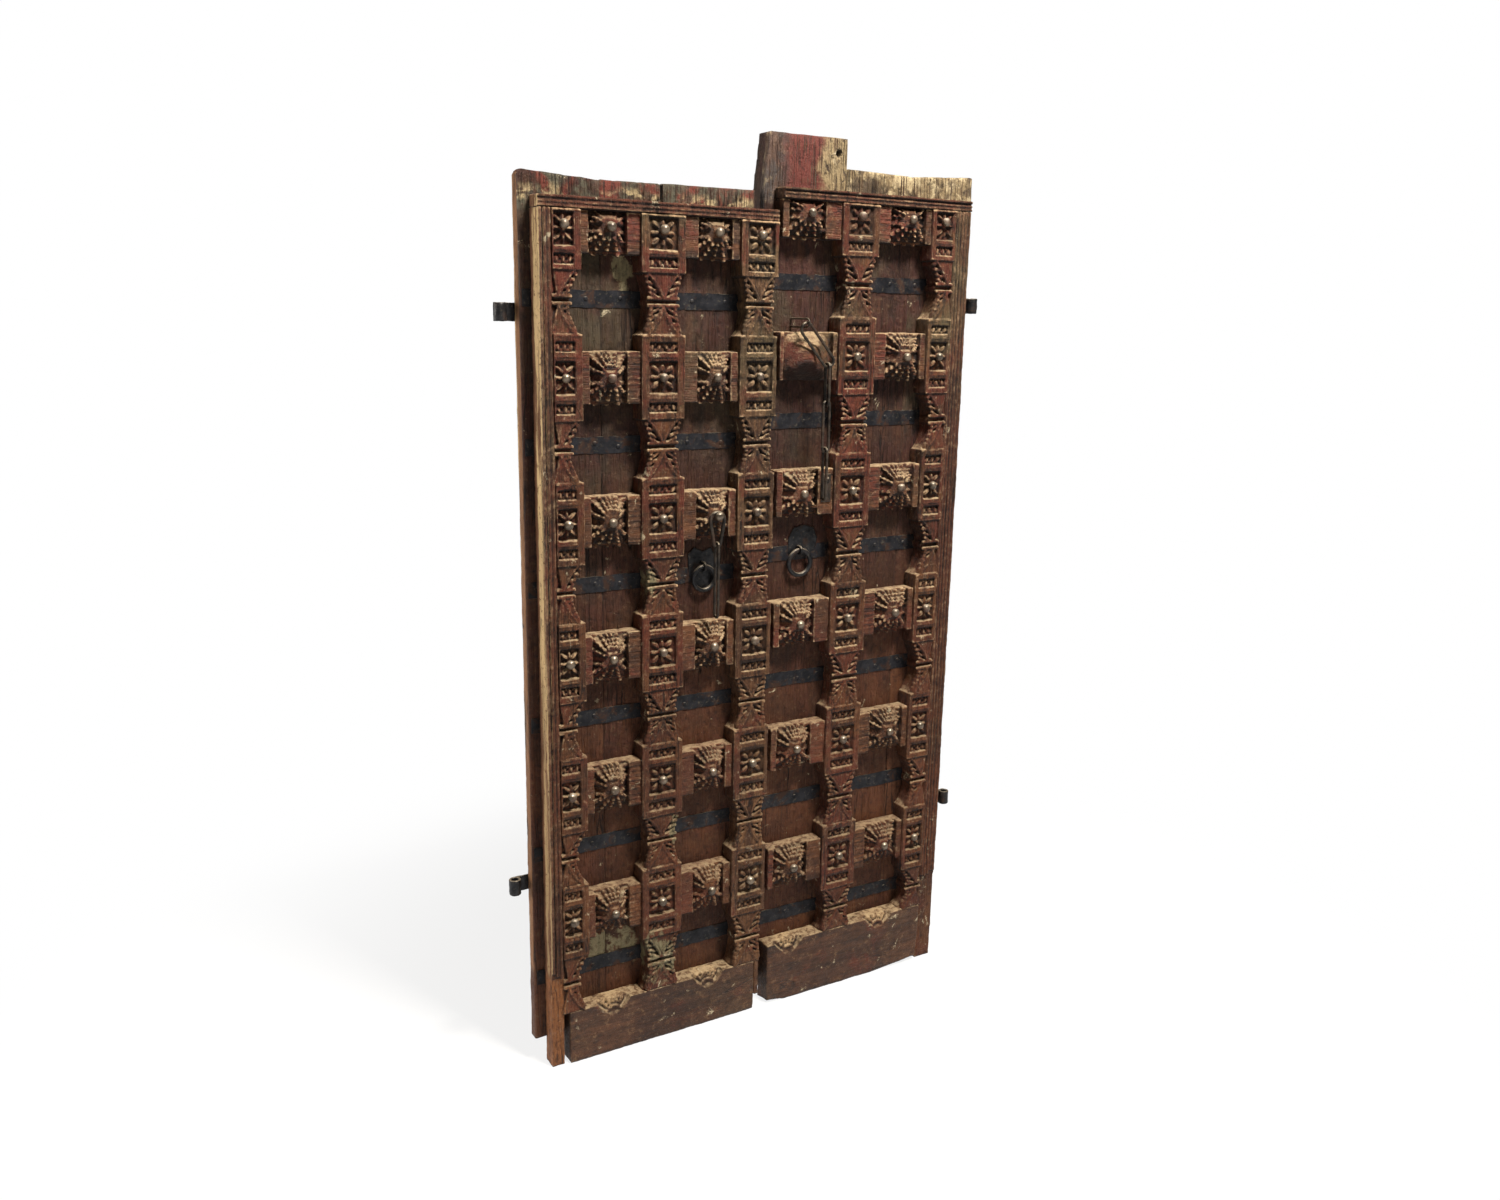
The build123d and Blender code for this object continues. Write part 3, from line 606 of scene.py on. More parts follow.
def woodFinish(name, **changes):
    look = dict(woodLook, **changes)
    material, bsdf, moved, place = startMaterial(name, look["offset"])
    grain = useGroup("woodGrain", Vector=moved, Stretch=look["stretch"])
    edgesAndHollows = useGroup("edgeWearHighlightAndShade", Vector=moved, Amount=look["wornAndHighlightAmount"])
    ledges = useGroup("ledgeDustHighlightAndShade", Vector=moved, Place=place)
    fibres, cracks, shadeUnder = grain["Fibres"], grain["Cracks"], ledges["ShadeUnder"]
    mottle = noise(moved, 75.0, 8.0, 0.74, 0.3)
    paintMask = product(patches(moved, 7.0, look["paintShare"], 0.05), ramp(fibres, 0.1, 0.45))
    broad, small = patches(moved, 14.0, 0.5, 0.16), patches(moved, 45.0, 0.5, 0.1)
    paleSpots = total(product(broad, 0.6), product(small, 0.4))
    pale = total(put("Attribute", attribute_name="pale")["Fac"], paleSpots)
    upper, lower = zoneMask(place, ("Z", *look["tintFrom"])), zoneMask(place, ("Z", 1.5, 0.5))
    # low down the edges are rubbed dark and smooth
    fading = zoneMask(place, ("Z", 0.5, 1.1))
    keepShare = put("Mix", {0: fading, 2: look["lowWear"], 3: 1.0})[0]
    layers = [
        ("light", grain["Streaks"]),
        ("paint", paintMask),
        ("tint", patches(moved, 4.0, look["tintShare"], 0.12), upper, 0.8),
        ("warm", patches(moved, 3.0, 0.6, 0.2), lower, look["warmAmount"]),
        ("dark", patches(moved, 5.5, look["stainShare"], 0.14), 0.55),
    ]
    # the zones' borders stray along the board and across it
    inputs = {"Vector": moved, "Scale": 16.0, "Detail": 7.0, "Roughness": 0.7}
    stray = vectorMath("MULTIPLY_ADD", put("TexNoise", inputs)["Color"], (0.1, 0, 0.06), place)
    strayed = vectorMath("ADD", stray, (-0.05, 0, -0.03))
    for index, (colour, share, size, *limits) in enumerate(look["zones"]):
        spots = patches(moved, size + 0.7 * index, share, 0.06)
        layers.append((colour, zoneMask(strayed, *limits), spots, ramp(fibres, 0.1, 0.5)))
    layers += [
        ("pale", ramp(pale, 1.1, 1.5)),
        ("dark", fibres, look["fibres"]),
        ("grime", ramp(mottle, 0.5, 0.34), look["mottle"]),
        ("chip", ramp(mottle, 0.53, 0.7), look["mottle"]),
        ("flake", patches(moved, 26.0, look["flakeShare"], 0.03), ramp(mottle, 0.42, 0.5)),
        # the door's outer side faces: their wood colour, lightened as painted light
        ("outside", ledges["Outside"]),
        ("strip", ledges["Strip"], ramp(grain["Streaks"], 0.1, 0.6), ramp(mottle, 0.36, 0.46)),
        ("grime", cracks, 0.8),
        # painted shade: the hollows are darkened with the grime colour
        ("grime", edgesAndHollows["ShadedHollows"], look["hollowShadeAmount"]),
        # painted shade: faces turned down are darkened
        ("grime", shadeUnder, 0.82),
        # rubbed edges, also a painted highlight, which is kept off faces turned down as they lie in shade
        ("worn", edgesAndHollows["Edges"], keepShare, less(1.0, shadeUnder)),
    ]
    # faces turned up get dust and a painted highlight in the ledge colour, broken by chips and dark mottle
    dust = [("chip", ramp(mottle, 0.56, 0.42)), ("dark", ramp(mottle, 0.44, 0.34), 0.8)]
    ledgeDustAndHighlightMask = product(ledges["Ledges"], look["ledgeAmount"], zoneMask(place, ("Z", 1.86, 1.78)))
    ledgeDustAndHighlightMask = product(ledgeDustAndHighlightMask, ramp(fading, 0.0, 1.0, 0.72, 1.0))
    fine = noise(moved, 260.0, 5.0, 0.7)
    relief = total(product(fibres, 0.6), product(fine, 0.4), product(mottle, 1.1))
    relief = total(less(relief, product(cracks, 1.2)), product(paintMask, 0.3))
    inputs = {
        "Base Color": blend(ledgeDustAndHighlightMask, layered(look, "dark", layers), layered(look, "ledge", dust)),
        "Roughness": total(look["gloss"], product(fibres, 0.3)),
        "Specular IOR Level": 0.34,
        "Normal": put("Bump", {"Strength": look["relief"], "Distance": 0.0038, "Height": relief})[0],
    }
    fill(bsdf, inputs)
    return material


ironLook = {
    "offset": (0, 0, 0),
    "rustShare": 0.35,
    # dust, and a painted highlight on faces turned up
    "dust": (150, 136, 116),
    "dustAndHighlightAmount": 0.5,
    "crust": 0.2,
    "rough": 0.42,
    "specular": 0.3,
}


def ironFinish(name, **changes):
    look = dict(ironLook, **changes)
    material, bsdf, moved, place = startMaterial(name, look["offset"])
    rust = patches(moved, 30.0, look["rustShare"], 0.06)
    ledges = useGroup("ledgeDustHighlightAndShade", Vector=moved, Place=place)["Ledges"]
    speck = ramp(noise(moved, 130.0, 6.0, 0.75), 0.55, 0.68)
    layers = [
        ("second", ramp(noise(moved, 55.0, 6.0, 0.65), 0.35, 0.65)),
        ("rust", rust),
        # faces turned up are lightened with dust and a painted highlight
        ("dust", ledges, look["dustAndHighlightAmount"]),
        ("dust", speck, look["crust"]),
    ]
    pits = noise(moved, 160.0, 5.0, 0.6)
    inputs = {
        "Base Color": layered(look, "base", layers),
        "Roughness": total(look["rough"], product(rust, 0.3)),
        "Metallic": less(look["metal"], product(rust, look["metal"])),
        "Specular IOR Level": look["specular"],
        "Normal": put("Bump", {"Strength": 0.45, "Distance": 0.0012, "Height": pits})[0],
    }
    fill(bsdf, inputs)
    return material


upright = (60, 60, 3.2)
level = (3.2, 60, 60)
# each zone is a colour, its share, the size of its patches and the limits that it lies within
bareFoot = ((150, 94, 52), 1.2, 9.0, ("Z", 0.222, 0.214), ("X", -0.49, -0.5))
meetingLook = {"light": (126, 90, 58), "paintShare": 0.34, "tintShare": 0.42}
mouldingLook = {"paint": (104, 54, 36), "paintShare": 0.6, "light": (112, 70, 46), "wornAndHighlightAmount": 0.45}
footLook = {
    "dark": (42, 24, 15),
    "light": (92, 57, 36),
    "paintShare": 0.3,
    "tint": (74, 58, 38),
    "tintShare": 0.26,
    "tintFrom": (-0.5, 0.2),
    "warm": (84, 52, 30),
    "warmAmount": 0.35,
    "chip": (128, 98, 68),
    "pale": (166, 136, 98),
    "wornAndHighlightAmount": 0.5,
    "gloss": 0.42,
    "relief": 0.7,
}
finishes = {
    "leftStile": woodFinish("carvedStileLeft", stretch=upright),
    "meetingStile": woodFinish("carvedMeetingStile", stretch=upright, offset=(0.4, 0, 2), **meetingLook),
    "rightStile": woodFinish("carvedStileRight", stretch=upright, offset=(3.1, 0, 0.7), paintShare=0.55),
    "leftRail": woodFinish("carvedRailLeft", stretch=level, offset=(1.3, 2, 0), paintShare=0.45),
    "rightRail": woodFinish("carvedRailRight", stretch=level, offset=(5.2, 1, 0), paintShare=0.45),
    "sideStile": woodFinish("outerStileWood", stretch=upright, offset=(7, 0, 1), zones=(bareFoot,)),
    "moulding": woodFinish("reededEdgeWood", stretch=(90, 60, 2.0), offset=(2, 5, 1), **mouldingLook),
    "foot": woodFinish("footRailWood", stretch=(4, 40, 40), offset=(4, 1, 3), **footLook),
}
boardLook = {
    "dark": (38, 20, 13),
    "light": (77, 45, 28),
    "paint": (68, 35, 27),
    "paintShare": 0.55,
    "tint": (74, 68, 50),
    "tintShare": 0.36,
    "tintFrom": (0.7, 1.7),
    "pale": (144, 132, 100),
    "fibres": 0.22,
    "chip": (98, 76, 54),
    "worn": (120, 98, 76),
    "wornAndHighlightAmount": 0.3,
    "ledgeAmount": 0.4,
    # the boards' outer sides are set lighter still, as painted light on that side
    "outside": (130, 90, 58),
    "strip": (190, 160, 118),
    "flakeShare": 0.09,
    "gloss": 0.48,
    "stretch": (38, 38, 1.8),
}
# the strips of board above the lattice kept their paint at the front only
frontOnly = ("Y", 0.034, 0.026)
aboveLeft = (("Z", 1.835, 1.85), frontOnly)
aboveRight = (("Z", 1.875, 1.89), frontOnly)
leftTops = (
    ((88, 84, 68), 0.56, 11.0, *aboveLeft),
    ((112, 50, 38), 0.42, 12.0, *aboveLeft),
    ((190, 168, 126), 0.44, 26.0, ("Z", 1.85, 1.86), ("Z", 1.89, 1.87), frontOnly),
)
rightTops = (
    ((146, 126, 92), 0.82, 8.0, *aboveRight),
    ((204, 184, 144), 0.46, 20.0, *aboveRight),
    ((84, 70, 54), 0.4, 14.0, *aboveRight),
)
redPart = (*aboveRight, ("X", 0.02, 0.07), ("X", 0.17, 0.14))
creamPart = (*aboveRight, ("X", 0.125, 0.15))
tallTops = (
    ((98, 76, 64), 0.9, 9.0, *aboveRight),
    ((74, 66, 62), 0.46, 12.0, *aboveRight),
    ((106, 50, 42), 0.74, 8.0, *redPart),
    ((158, 138, 102), 0.8, 13.0, *creamPart),
    ((56, 42, 32), 0.34, 30.0, *creamPart),
    ((168, 148, 114), 0.5, 14.0, *aboveRight, ("X", 0.005, -0.005)),
)
for index, zones in enumerate((leftTops, leftTops, leftTops, rightTops, rightTops, tallTops)):
    offset = (2.7 * index, 1, 3.3 * index)
    finishes[f"board{index}"] = woodFinish(f"boardWood{index}", **boardLook, offset=offset, zones=zones)
ironLooks = {
    "forgedIron": {
        "base": (15, 15, 17),
        "second": (34, 34, 36),
        "rust": (44, 29, 21),
        "rustShare": 0.28,
        "metal": 0.3,
    },
    "linkIron": {
        "base": (26, 23, 21),
        "second": (66, 57, 48),
        "rust": (50, 35, 26),
        "dust": (150, 136, 114),
        "dustAndHighlightAmount": 0.55,
        "metal": 0.4,
    },
    "bandIron": {
        "base": (18, 19, 23),
        "second": (36, 36, 40),
        "rust": (50, 33, 25),
        "rustShare": 0.34,
        "dust": (112, 104, 88),
        "crust": 0.3,
        "specular": 0.2,
        "offset": (1, 1, 1),
        "metal": 0.25,
        "rough": 0.5,
    },
    "nailIron": {
        "base": (62, 54, 46),
        "second": (120, 106, 90),
        "rust": (74, 52, 38),
        "dust": (176, 162, 140),
        "dustAndHighlightAmount": 0.75,
        "metal": 0.5,
        "rough": 0.34,
        "specular": 0.5,
    },
}
for name, changes in ironLooks.items():
    finishes[name] = ironFinish(name, **changes)
print("finishes built")

# carved stiles

carving = {
    "blockDepth": 16,
    "coreFront": 10,
    "sunk": 8.5,
    "rim": 4.5,
    "rosetteHalf": 33,
    "beadHalf": 10.5,
    "beadOffset": 61,
    "margin": 13,
    "bevel": 0.8,
    "lip": 7,
    "waist": [
        (0.2, 0.5),
        (0.32, 0.9),
        (0.4, 1.0),
        (0.44, 0.8),
        (0.52, 0.8),
        (0.56, 1.0),
        (0.68, 0.9),
        (0.8, 0.62),
        (0.92, 0.3),
    ],
    "waistSteps": 25,
}
stiles = {
    "left_outer_stile": {"block": (28, 88), "cuts": (0, 26), "carving": (52, 42), "strip": (0, 29)},
    "left_middle_stile": {"block": (218, 316), "cuts": (18, 18), "carving": (267, 66)},
    "left_meeting_stile": {"block": (448, 539), "cuts": (18, 13), "carving": (497, 66)},
    "right_outer_stile": {"block": (46, 112), "cuts": (0, 24), "carving": (77, 50), "strip": (0, 47)},
    "right_middle_stile": {"block": (261, 359), "cuts": (18, 18), "carving": (310, 66)},
}


def waistCut(share, depth):
    # how far a stile is cut in at this share of the way down a bay
    if depth == 0:
        return 0
    lip = carving["lip"]
    cuts = [lip, lip + 1] + [lip + (depth - lip) * value for _, value in carving["waist"]] + [lip / 2]
    places = [0, 0.08] + [place for place, _ in carving["waist"]] + [1]
    return float(np.interp(share, places, np.minimum(cuts, max(depth, lip))))


def chain(stations, yFront, yBack):
    # a post grown downwards by extrusion; each station is (z, low x, high x)
    (z0, low, high), (z1, _, _) = stations[:2]
    post = slabOf((low, high), (yFront, yBack), (z1, z0))
    floorZ = z1 / 1000
    selectFaces(post, lambda face: face.normal.z < -0.9 and abs(face.center.z - floorZ) < 1e-5)
    for z, newLow, newHigh in stations[2:]:
        extrude(0, 0, z - z1)
        if abs(newLow - low) + abs(newHigh - high) > 1e-6:
            resizeAcross(low, high, newLow, newHigh)
        z1, low, high = z, newLow, newHigh
    leaveEdit()
    return post


def carvedBlock(xSpan, zSpan, centre, width, rosetteZ, beadZs):
    # one square block: panels are inset and sunk, then a flower and rows of beads fill them
    block = slabOf(xSpan, (0, carving["blockDepth"]), zSpan)
    zones = [(rosetteZ, carving["rosetteHalf"])] + [(z, carving["beadHalf"]) for z in beadZs]
    lines = []
    for z, half in zones:
        reach = half + carving["rim"]
        lines += [z - reach, min(z + reach, zSpan[1] - 1)]
    editAll(block)
    for z in lines:
        slicePiece(at(0, 0, z), (0, 0, 1))
    leaveEdit()

    def isPanel(face):
        z = face.center.z * 1000
        inZone = any(abs(z - where) < half for where, half in zones)
        return face.normal.y < -0.9 and inZone

    selectFaces(block, isPanel)
    bpy.ops.mesh.inset(thickness=carving["rim"] / 1000, use_individual=True)
    low, high = centre - width / 2, centre + width / 2
    resizeAcross(xSpan[0] + carving["rim"], xSpan[1] - carving["rim"], low, high)
    bevel, depth = carving["bevel"] / 1000, -carving["sunk"] / 1000
    bpy.ops.mesh.inset(thickness=bevel, depth=depth, use_individual=True)
    leaveEdit()
    squeeze = width / 66
    bed = carving["sunk"] - 1.5
    parts = [block]
    for turn in range(0, 360, 45):
        # the slanting petals reach further than the upright and level ones
        reach, wide, deep, long = (23, 5.6, 6.6, 10.5) if turn % 90 else (18, 4.4, 6.2, 9)
        across, rise = fromUp(turn, reach)
        radii = (wide * squeeze, deep, long)
        parts.append(lobe(centre + across * squeeze, bed, rosetteZ + rise, radii, turn))
    parts.append(lobe(centre, bed - 1, rosetteZ, (9 * squeeze, 5.5, 9)))
    # lips along both ends of the block and between its panels
    for z in (zSpan[0] + 3, zSpan[1] - 3):
        parts.append(levelRod((xSpan[0] + 1.5, xSpan[1] - 1.5), 1, z, 2.8))
    for z in beadZs:
        parts.append(levelRod((low, high), 0.2, rosetteZ + (z - rosetteZ) * 0.69, 2.4))
    count = max(3, round(width / 16))
    pitch = width / count
    for z in beadZs:
        for index in range(count):
            x = centre + (index - (count - 1) / 2) * pitch
            turn = random.uniform(-25, 25)
            parts.append(lobe(x, bed, z - 1, (pitch * 0.27, 5, 8), turn))
            if index < count - 1:
                parts.append(lobe(x + pitch / 2, bed + 0.5, z + 5, (2.8, 4, 3.4)))
                parts.append(lobe(x + pitch / 2, bed + 1, z - 6, (2.2, 3.6, 2.6)))
    return joinAll(parts, "blockPattern")


def wedgeLeaf(xSpan, zBase, tip, zTip):
    # a flat triangular leaf, its tip pulled together from one end of a cube
    low, high = min(zBase, zTip), max(zBase, zTip)
    leafPlate = slabOf(xSpan, (2.2, carving["blockDepth"]), (low, high))
    wanted = 1 if zTip > zBase else -1
    selectFaces(leafPlate, lambda face: face.normal.z * wanted > 0.9)
    resizeAcross(xSpan[0], xSpan[1], tip - 2.5, tip + 2.5)
    leaveEdit()
    return leafPlate


def bayCarving(xSpan, cutLow, cutHigh, top, bottom):
    # the carving between two blocks: a hanging leaf, a band of cords and a standing leaf,
    # with foliage from the leaves out to the waisted edges
    length = top - bottom
    bandTop = top - 0.39 * length
    bandBottom = top - 0.55 * length
    margin = carving["margin"]
    # a stile that is straight on one side carries half of the pattern
    low = xSpan[0] + (1 if cutLow == 0 else margin)
    high = xSpan[1] - (1 if cutHigh == 0 else margin)
    tip = (low + high) / 2
    if cutLow == 0:
        tip = low + (high - low) * 0.25
    if cutHigh == 0:
        tip = high - (high - low) * 0.25
    parts = [
        wedgeLeaf((low, high), top + 1, tip, bandTop - 2),
        wedgeLeaf((low - margin / 3, high + margin / 3), bottom - 1, tip, bandBottom),
    ]
    bandLow, bandHigh = xSpan[0] + cutLow * 0.8, xSpan[1] - cutHigh * 0.8
    for z, radius in ((bandTop - 2, 4.2), (bandBottom + 3, 4.4)):
        parts.append(levelRod((bandLow - 1, bandHigh + 1), 5, z, radius))
    for side, edge, cut in ((1, xSpan[0], cutLow), (-1, xSpan[1], cutHigh)):
        if cut == 0:
            continue
        start = low if side == 1 else high
        # a curling ridge along each leaf, with feathers fanning out from it to the edge
        for base, point, turn, ridge in ((top, bandTop - 4, -1, 2.2), (bottom, bandBottom, 1, 3.0)):
            path = []
            for step in range(8):
                share = step / 7
                bulge = math.sin(share * math.pi) * 3.5
                x = start + (tip - start) * share**0.85 + side * bulge
                path.append((x, base + (point - base) * share))
            for (x1, z1), (x2, z2) in zip(path, path[1:]):
                span = math.hypot(x2 - x1, z2 - z1)
                slant = math.degrees(math.atan2(x2 - x1, z2 - z1))
                parts.append(lobe((x1 + x2) / 2, 3, (z1 + z2) / 2, (ridge, 4.4, span * 0.72), slant))
            for index in range(4):
                share = (index + 0.45) / 4
                inner = start + (tip - start) * share
                z = base + (point - base) * share
                across = edge + side * waistCut((top - z) / length, cut)
                reach = max(4.5, abs(inner - across) * 0.62)
                parts.append(lobe((inner + across) / 2, 7.5, z, (3.3, 6.4, reach), side * turn * 58))
        # curls that give the edge its scalloped outline
        for index in range(5):
            share = 0.59 + 0.082 * index
            x = edge + side * (waistCut(share, cut) + 3.4)
            size = 0.85 + 0.08 * index
            parts.append(lobe(x, 8, top - length * share, (5.4 * size, 9, 6.6 * size), side * 30))
        for index in range(4):
            share = 0.07 + 0.085 * index
            x = edge + side * (waistCut(share, cut) + 3)
            parts.append(lobe(x, 8, top - length * share, (4.4, 8.5, 6), side * -30))
    return joinAll(parts, "bayPattern")


def stileParts(leaf, spec):
    levels = levelsOf(leaf)
    xSpan = spanOf(leaf, *spec["block"])
    cutLow, cutHigh = spec["cuts"][:: leaf["direction"]]
    centre, width = onLeaf(leaf, spec["carving"][0]), spec["carving"][1]
    bays = []
    stations = [(leaf["top"], *xSpan)]
    for row, height in enumerate(levels):
        top = height - blockHalf
        bottom = levels[row + 1] + blockHalf if row + 1 < rowCount else leaf["footTop"]
        stations.append((top, *xSpan))
        for step in range(carving["waistSteps"] + 1):
            share = step / carving["waistSteps"]
            low = xSpan[0] + waistCut(share, cutLow)
            high = xSpan[1] - waistCut(share, cutHigh)
            stations.append((top - (top - bottom) * share - (0.4 if step == 0 else 0), low, high))
        if row + 1 < rowCount:
            stations.append((bottom - 0.4, *xSpan))
        bays.append((top, bottom))
    parts = [chain(stations, carving["coreFront"], latticeBack - 1)]
    first, second = levels[:2]
    offset = carving["beadOffset"]
    zSpan = (first - blockHalf, leaf["top"])
    parts.append(carvedBlock(xSpan, zSpan, centre, width, first - 8, [first - offset - 4]))
    zSpan = (second - blockHalf, second + blockHalf)
    pattern = carvedBlock(xSpan, zSpan, centre, width, second, [second + offset, second - offset])
    parts.append(pattern)
    for row in range(2, rowCount):
        parts.append(copyAt(pattern, Matrix.Translation((0, 0, (levels[row] - second) / 1000))))
    top, bottom = bays[0]
    bay = bayCarving(xSpan, cutLow, cutHigh, top, bottom)
    parts.append(bay)
    for rowTop, rowBottom in bays[1:]:
        ratio = (rowTop - rowBottom) / (top - bottom)
        matrix = Matrix.Translation((0, 0, rowTop / 1000)) @ Matrix.Diagonal((1, 1, ratio, 1))
        parts.append(copyAt(bay, matrix @ Matrix.Translation((0, 0, -top / 1000))))
    return parts


for name, spec in stiles.items():
    side, leaf = leafOf(name)
    parts = stileParts(leaf, spec)
    finish = side + "Stile"
    if "strip" in spec:
        parts.append(slabOf(spanOf(leaf, *spec["strip"]), (8, latticeBack - 1), (0, leaf["top"])))
        finish = "sideStile"
    if name == "left_meeting_stile":
        parts.append(slabOf((515.6, 528), (2, latticeBack - 2), (38, 130)))
        finish = "meetingStile"
    piece = joinAll(parts, name + "Carved")
    weather(piece, "stile")
    if name == "left_middle_stile":
        bleach(piece, (262, 215, 52, 80), (300, 520, 20, 50), (240, 1090, 16, 40))
    keepPiece(piece, side + "_leaf", finish, name)
    print("stile", name, len(piece.data.polygons))

# rails with pyramid bosses

rails = {
    "setback": 8,
    "lapDepth": 24,
    "baseDepth": 30,
    "profile": [(24, 0.9), (17, 0.74), (10, 0.56), (4, 0.4), (-1, 0.29), (-5, 0.21)],
    "left": {
        "outerEdge": 88,
        "middle": (218, 316),
        "end": 448,
        "lap": (36, 524),
        "bosses": ((148, 82), (390, 80)),
    },
    "right": {
        "outerEdge": 112,
        "middle": (261, 359),
        "end": 508,
        "lap": (54, 508),
        "bosses": ((176, 100), (446, 94)),
    },
    "plain": {"base": (370, 500), "tip": 453, "row": 1},
}


def reachAt(angle, rise, half):
    # how far a rib at this angle runs before it meets the boss's edge
    slant = math.radians(angle)
    return min(rise / math.cos(slant), half / max(0.01, abs(math.sin(slant))))


def slopeDepth(share):
    # depth of the boss's hollow flank, from its base (share 1) to its tip
    depths, shares = zip(*reversed(rails["profile"]))
    return float(np.interp(share, (*shares, 1), (*depths, rails["baseDepth"])))


def raiseTip(profile, last, tip):
    # draws the selected face out to each depth, narrowed to its share of the base
    size = 1.0
    for depth, share in profile:
        extrude(0, depth - last, 0)
        resize((share / size, 1, share / size), tip)
        last, size = depth, share
    leaveEdit()


def bellBoss(width, up, down):
    # a four-sided boss with hollow flanks, its tip above x = z = 0; up and down are its reaches
    boss = slabOf((-width / 2, width / 2), (rails["baseDepth"], latticeBack - 2), (-down, up))
    selectFaces(boss, lambda face: face.normal.y < -0.9)
    raiseTip(rails["profile"], rails["baseDepth"], at(0, 0, 0))
    parts = [boss]
    half = width / 2
    # fan on the upper flank: ribs run from the nail to the rail's top edge
    for angle in (-62, -41, -21, -6, 6, 21, 41, 62):
        limit = reachAt(angle, up, half)
        central = abs(angle) < 10
        for share in (0.4, 0.54, 0.68, 0.84):
            x, z = fromUp(angle, limit * share)
            wide = 2.4 if central else 2.4 + 2.4 * share
            parts.append(lobe(x, slopeDepth(share) - 0.3, z, (wide, 5, limit * 0.17), angle, 36))
    # fluted skirt on the lower flank, ending in rounded drops
    for angle in (-50, -26, 0, 26, 50):
        limit = reachAt(angle, down, half)
        for share in (0.4, 0.58, 0.76, 0.94):
            x, z = fromUp(angle, limit * share)
            wide = 2.6 + 3.8 * share
            parts.append(lobe(x, slopeDepth(share) + 1, -z, (wide, 4.6, limit * 0.19), -angle, -36))
    # curls down the two sides
    for side in (-1, 1):
        for share in (0.5, 0.7, 0.9):
            for rise, turn in ((0.2, 62), (-0.2, 118)):
                reach = up if rise > 0 else down
                x = side * half * share
                parts.append(lobe(x, slopeDepth(share), reach * rise, (4, 5.5, 7.5), side * turn))
    boss = joinAll(parts, "bossPattern")
    boss.data.transform(Matrix.Translation(-at(0, 0, 0)))
    return boss


def plainBoss(leaf, z):
    # the big smooth boss with no nail
    spec = rails["plain"]
    low, high = spanOf(leaf, *spec["base"])
    boss = slabOf((low, high), (rails["baseDepth"] - 4, latticeBack - 2), (z - railHalf, z + railHalf))
    selectFaces(boss, lambda face: face.normal.y < -0.9)
    profile = [(20, 0.95), (11, 0.8), (2, 0.62), (-7, 0.43), (-13, 0.27), (-16, 0.14)]
    raiseTip(profile, rails["baseDepth"] - 4, at(onLeaf(leaf, spec["tip"]), 0, z))
    applyModifier(boss, "SUBSURF", subdivision_type="SIMPLE", levels=3, render_levels=3)
    applyModifier(boss, "SMOOTH", factor=0.5, iterations=26)
    return boss


bossPatterns = {}
for side, width in (("left", 81), ("right", 97)):
    topReach = leaves[side]["top"] - leaves[side]["firstLevel"]
    for kind, up in (("top", topReach), ("row", railHalf)):
        bossPatterns[side, kind] = bellBoss(width, up, railHalf)
for side, leaf in leaves.items():
    spec = rails[side]
    for row, height in enumerate(levelsOf(leaf)):
        top = leaf["top"] if row == 0 else height + railHalf
        bottom = height - railHalf
        parts = [slabOf(spanOf(leaf, *spec["lap"]), (rails["lapDepth"], latticeBack), (bottom, top))]
        edges = [(spec["outerEdge"] - 1, spec["middle"][0] + 1), (spec["middle"][1] - 1, spec["end"])]
        for column, (low, high) in enumerate(edges):
            middle, width = spec["bosses"][column]
            bossSpan = (middle - width / 2, middle + width / 2)
            plain = side == "right" and row == rails["plain"]["row"] and column == 1
            if plain:
                bossSpan = rails["plain"]["base"]
                parts.append(plainBoss(leaf, height))
            else:
                pattern = bossPatterns[side, "top" if row == 0 else "row"]
                parts.append(copyAt(pattern, Matrix.Translation(at(onLeaf(leaf, middle), 0, height))))
            for span in ((low, bossSpan[0]), (bossSpan[1], high)):
                ends = spanOf(leaf, *span)
                parts.append(slabOf(ends, (rails["setback"], rails["lapDepth"] + 4), (bottom, top)))
            # level flutes on the wider field of the first column
            if column == 0:
                for index in range(int((top - bottom - 6) / 11)):
                    parts.append(levelRod(ends, 10, bottom + 8 + 11 * index, 3.6))
        piece = joinAll(parts, f"{side}_rail_{row + 1}Carved")
        weather(piece, "rail", "X", uneven=0.0034, tool=0.0018)
        keepPiece(piece, side + "_leaf", side + "Rail", f"{side}_rail_{row + 1}")
    print("rails", side)
drop(*bossPatterns.values())

# foot rails, caps and reeded edges

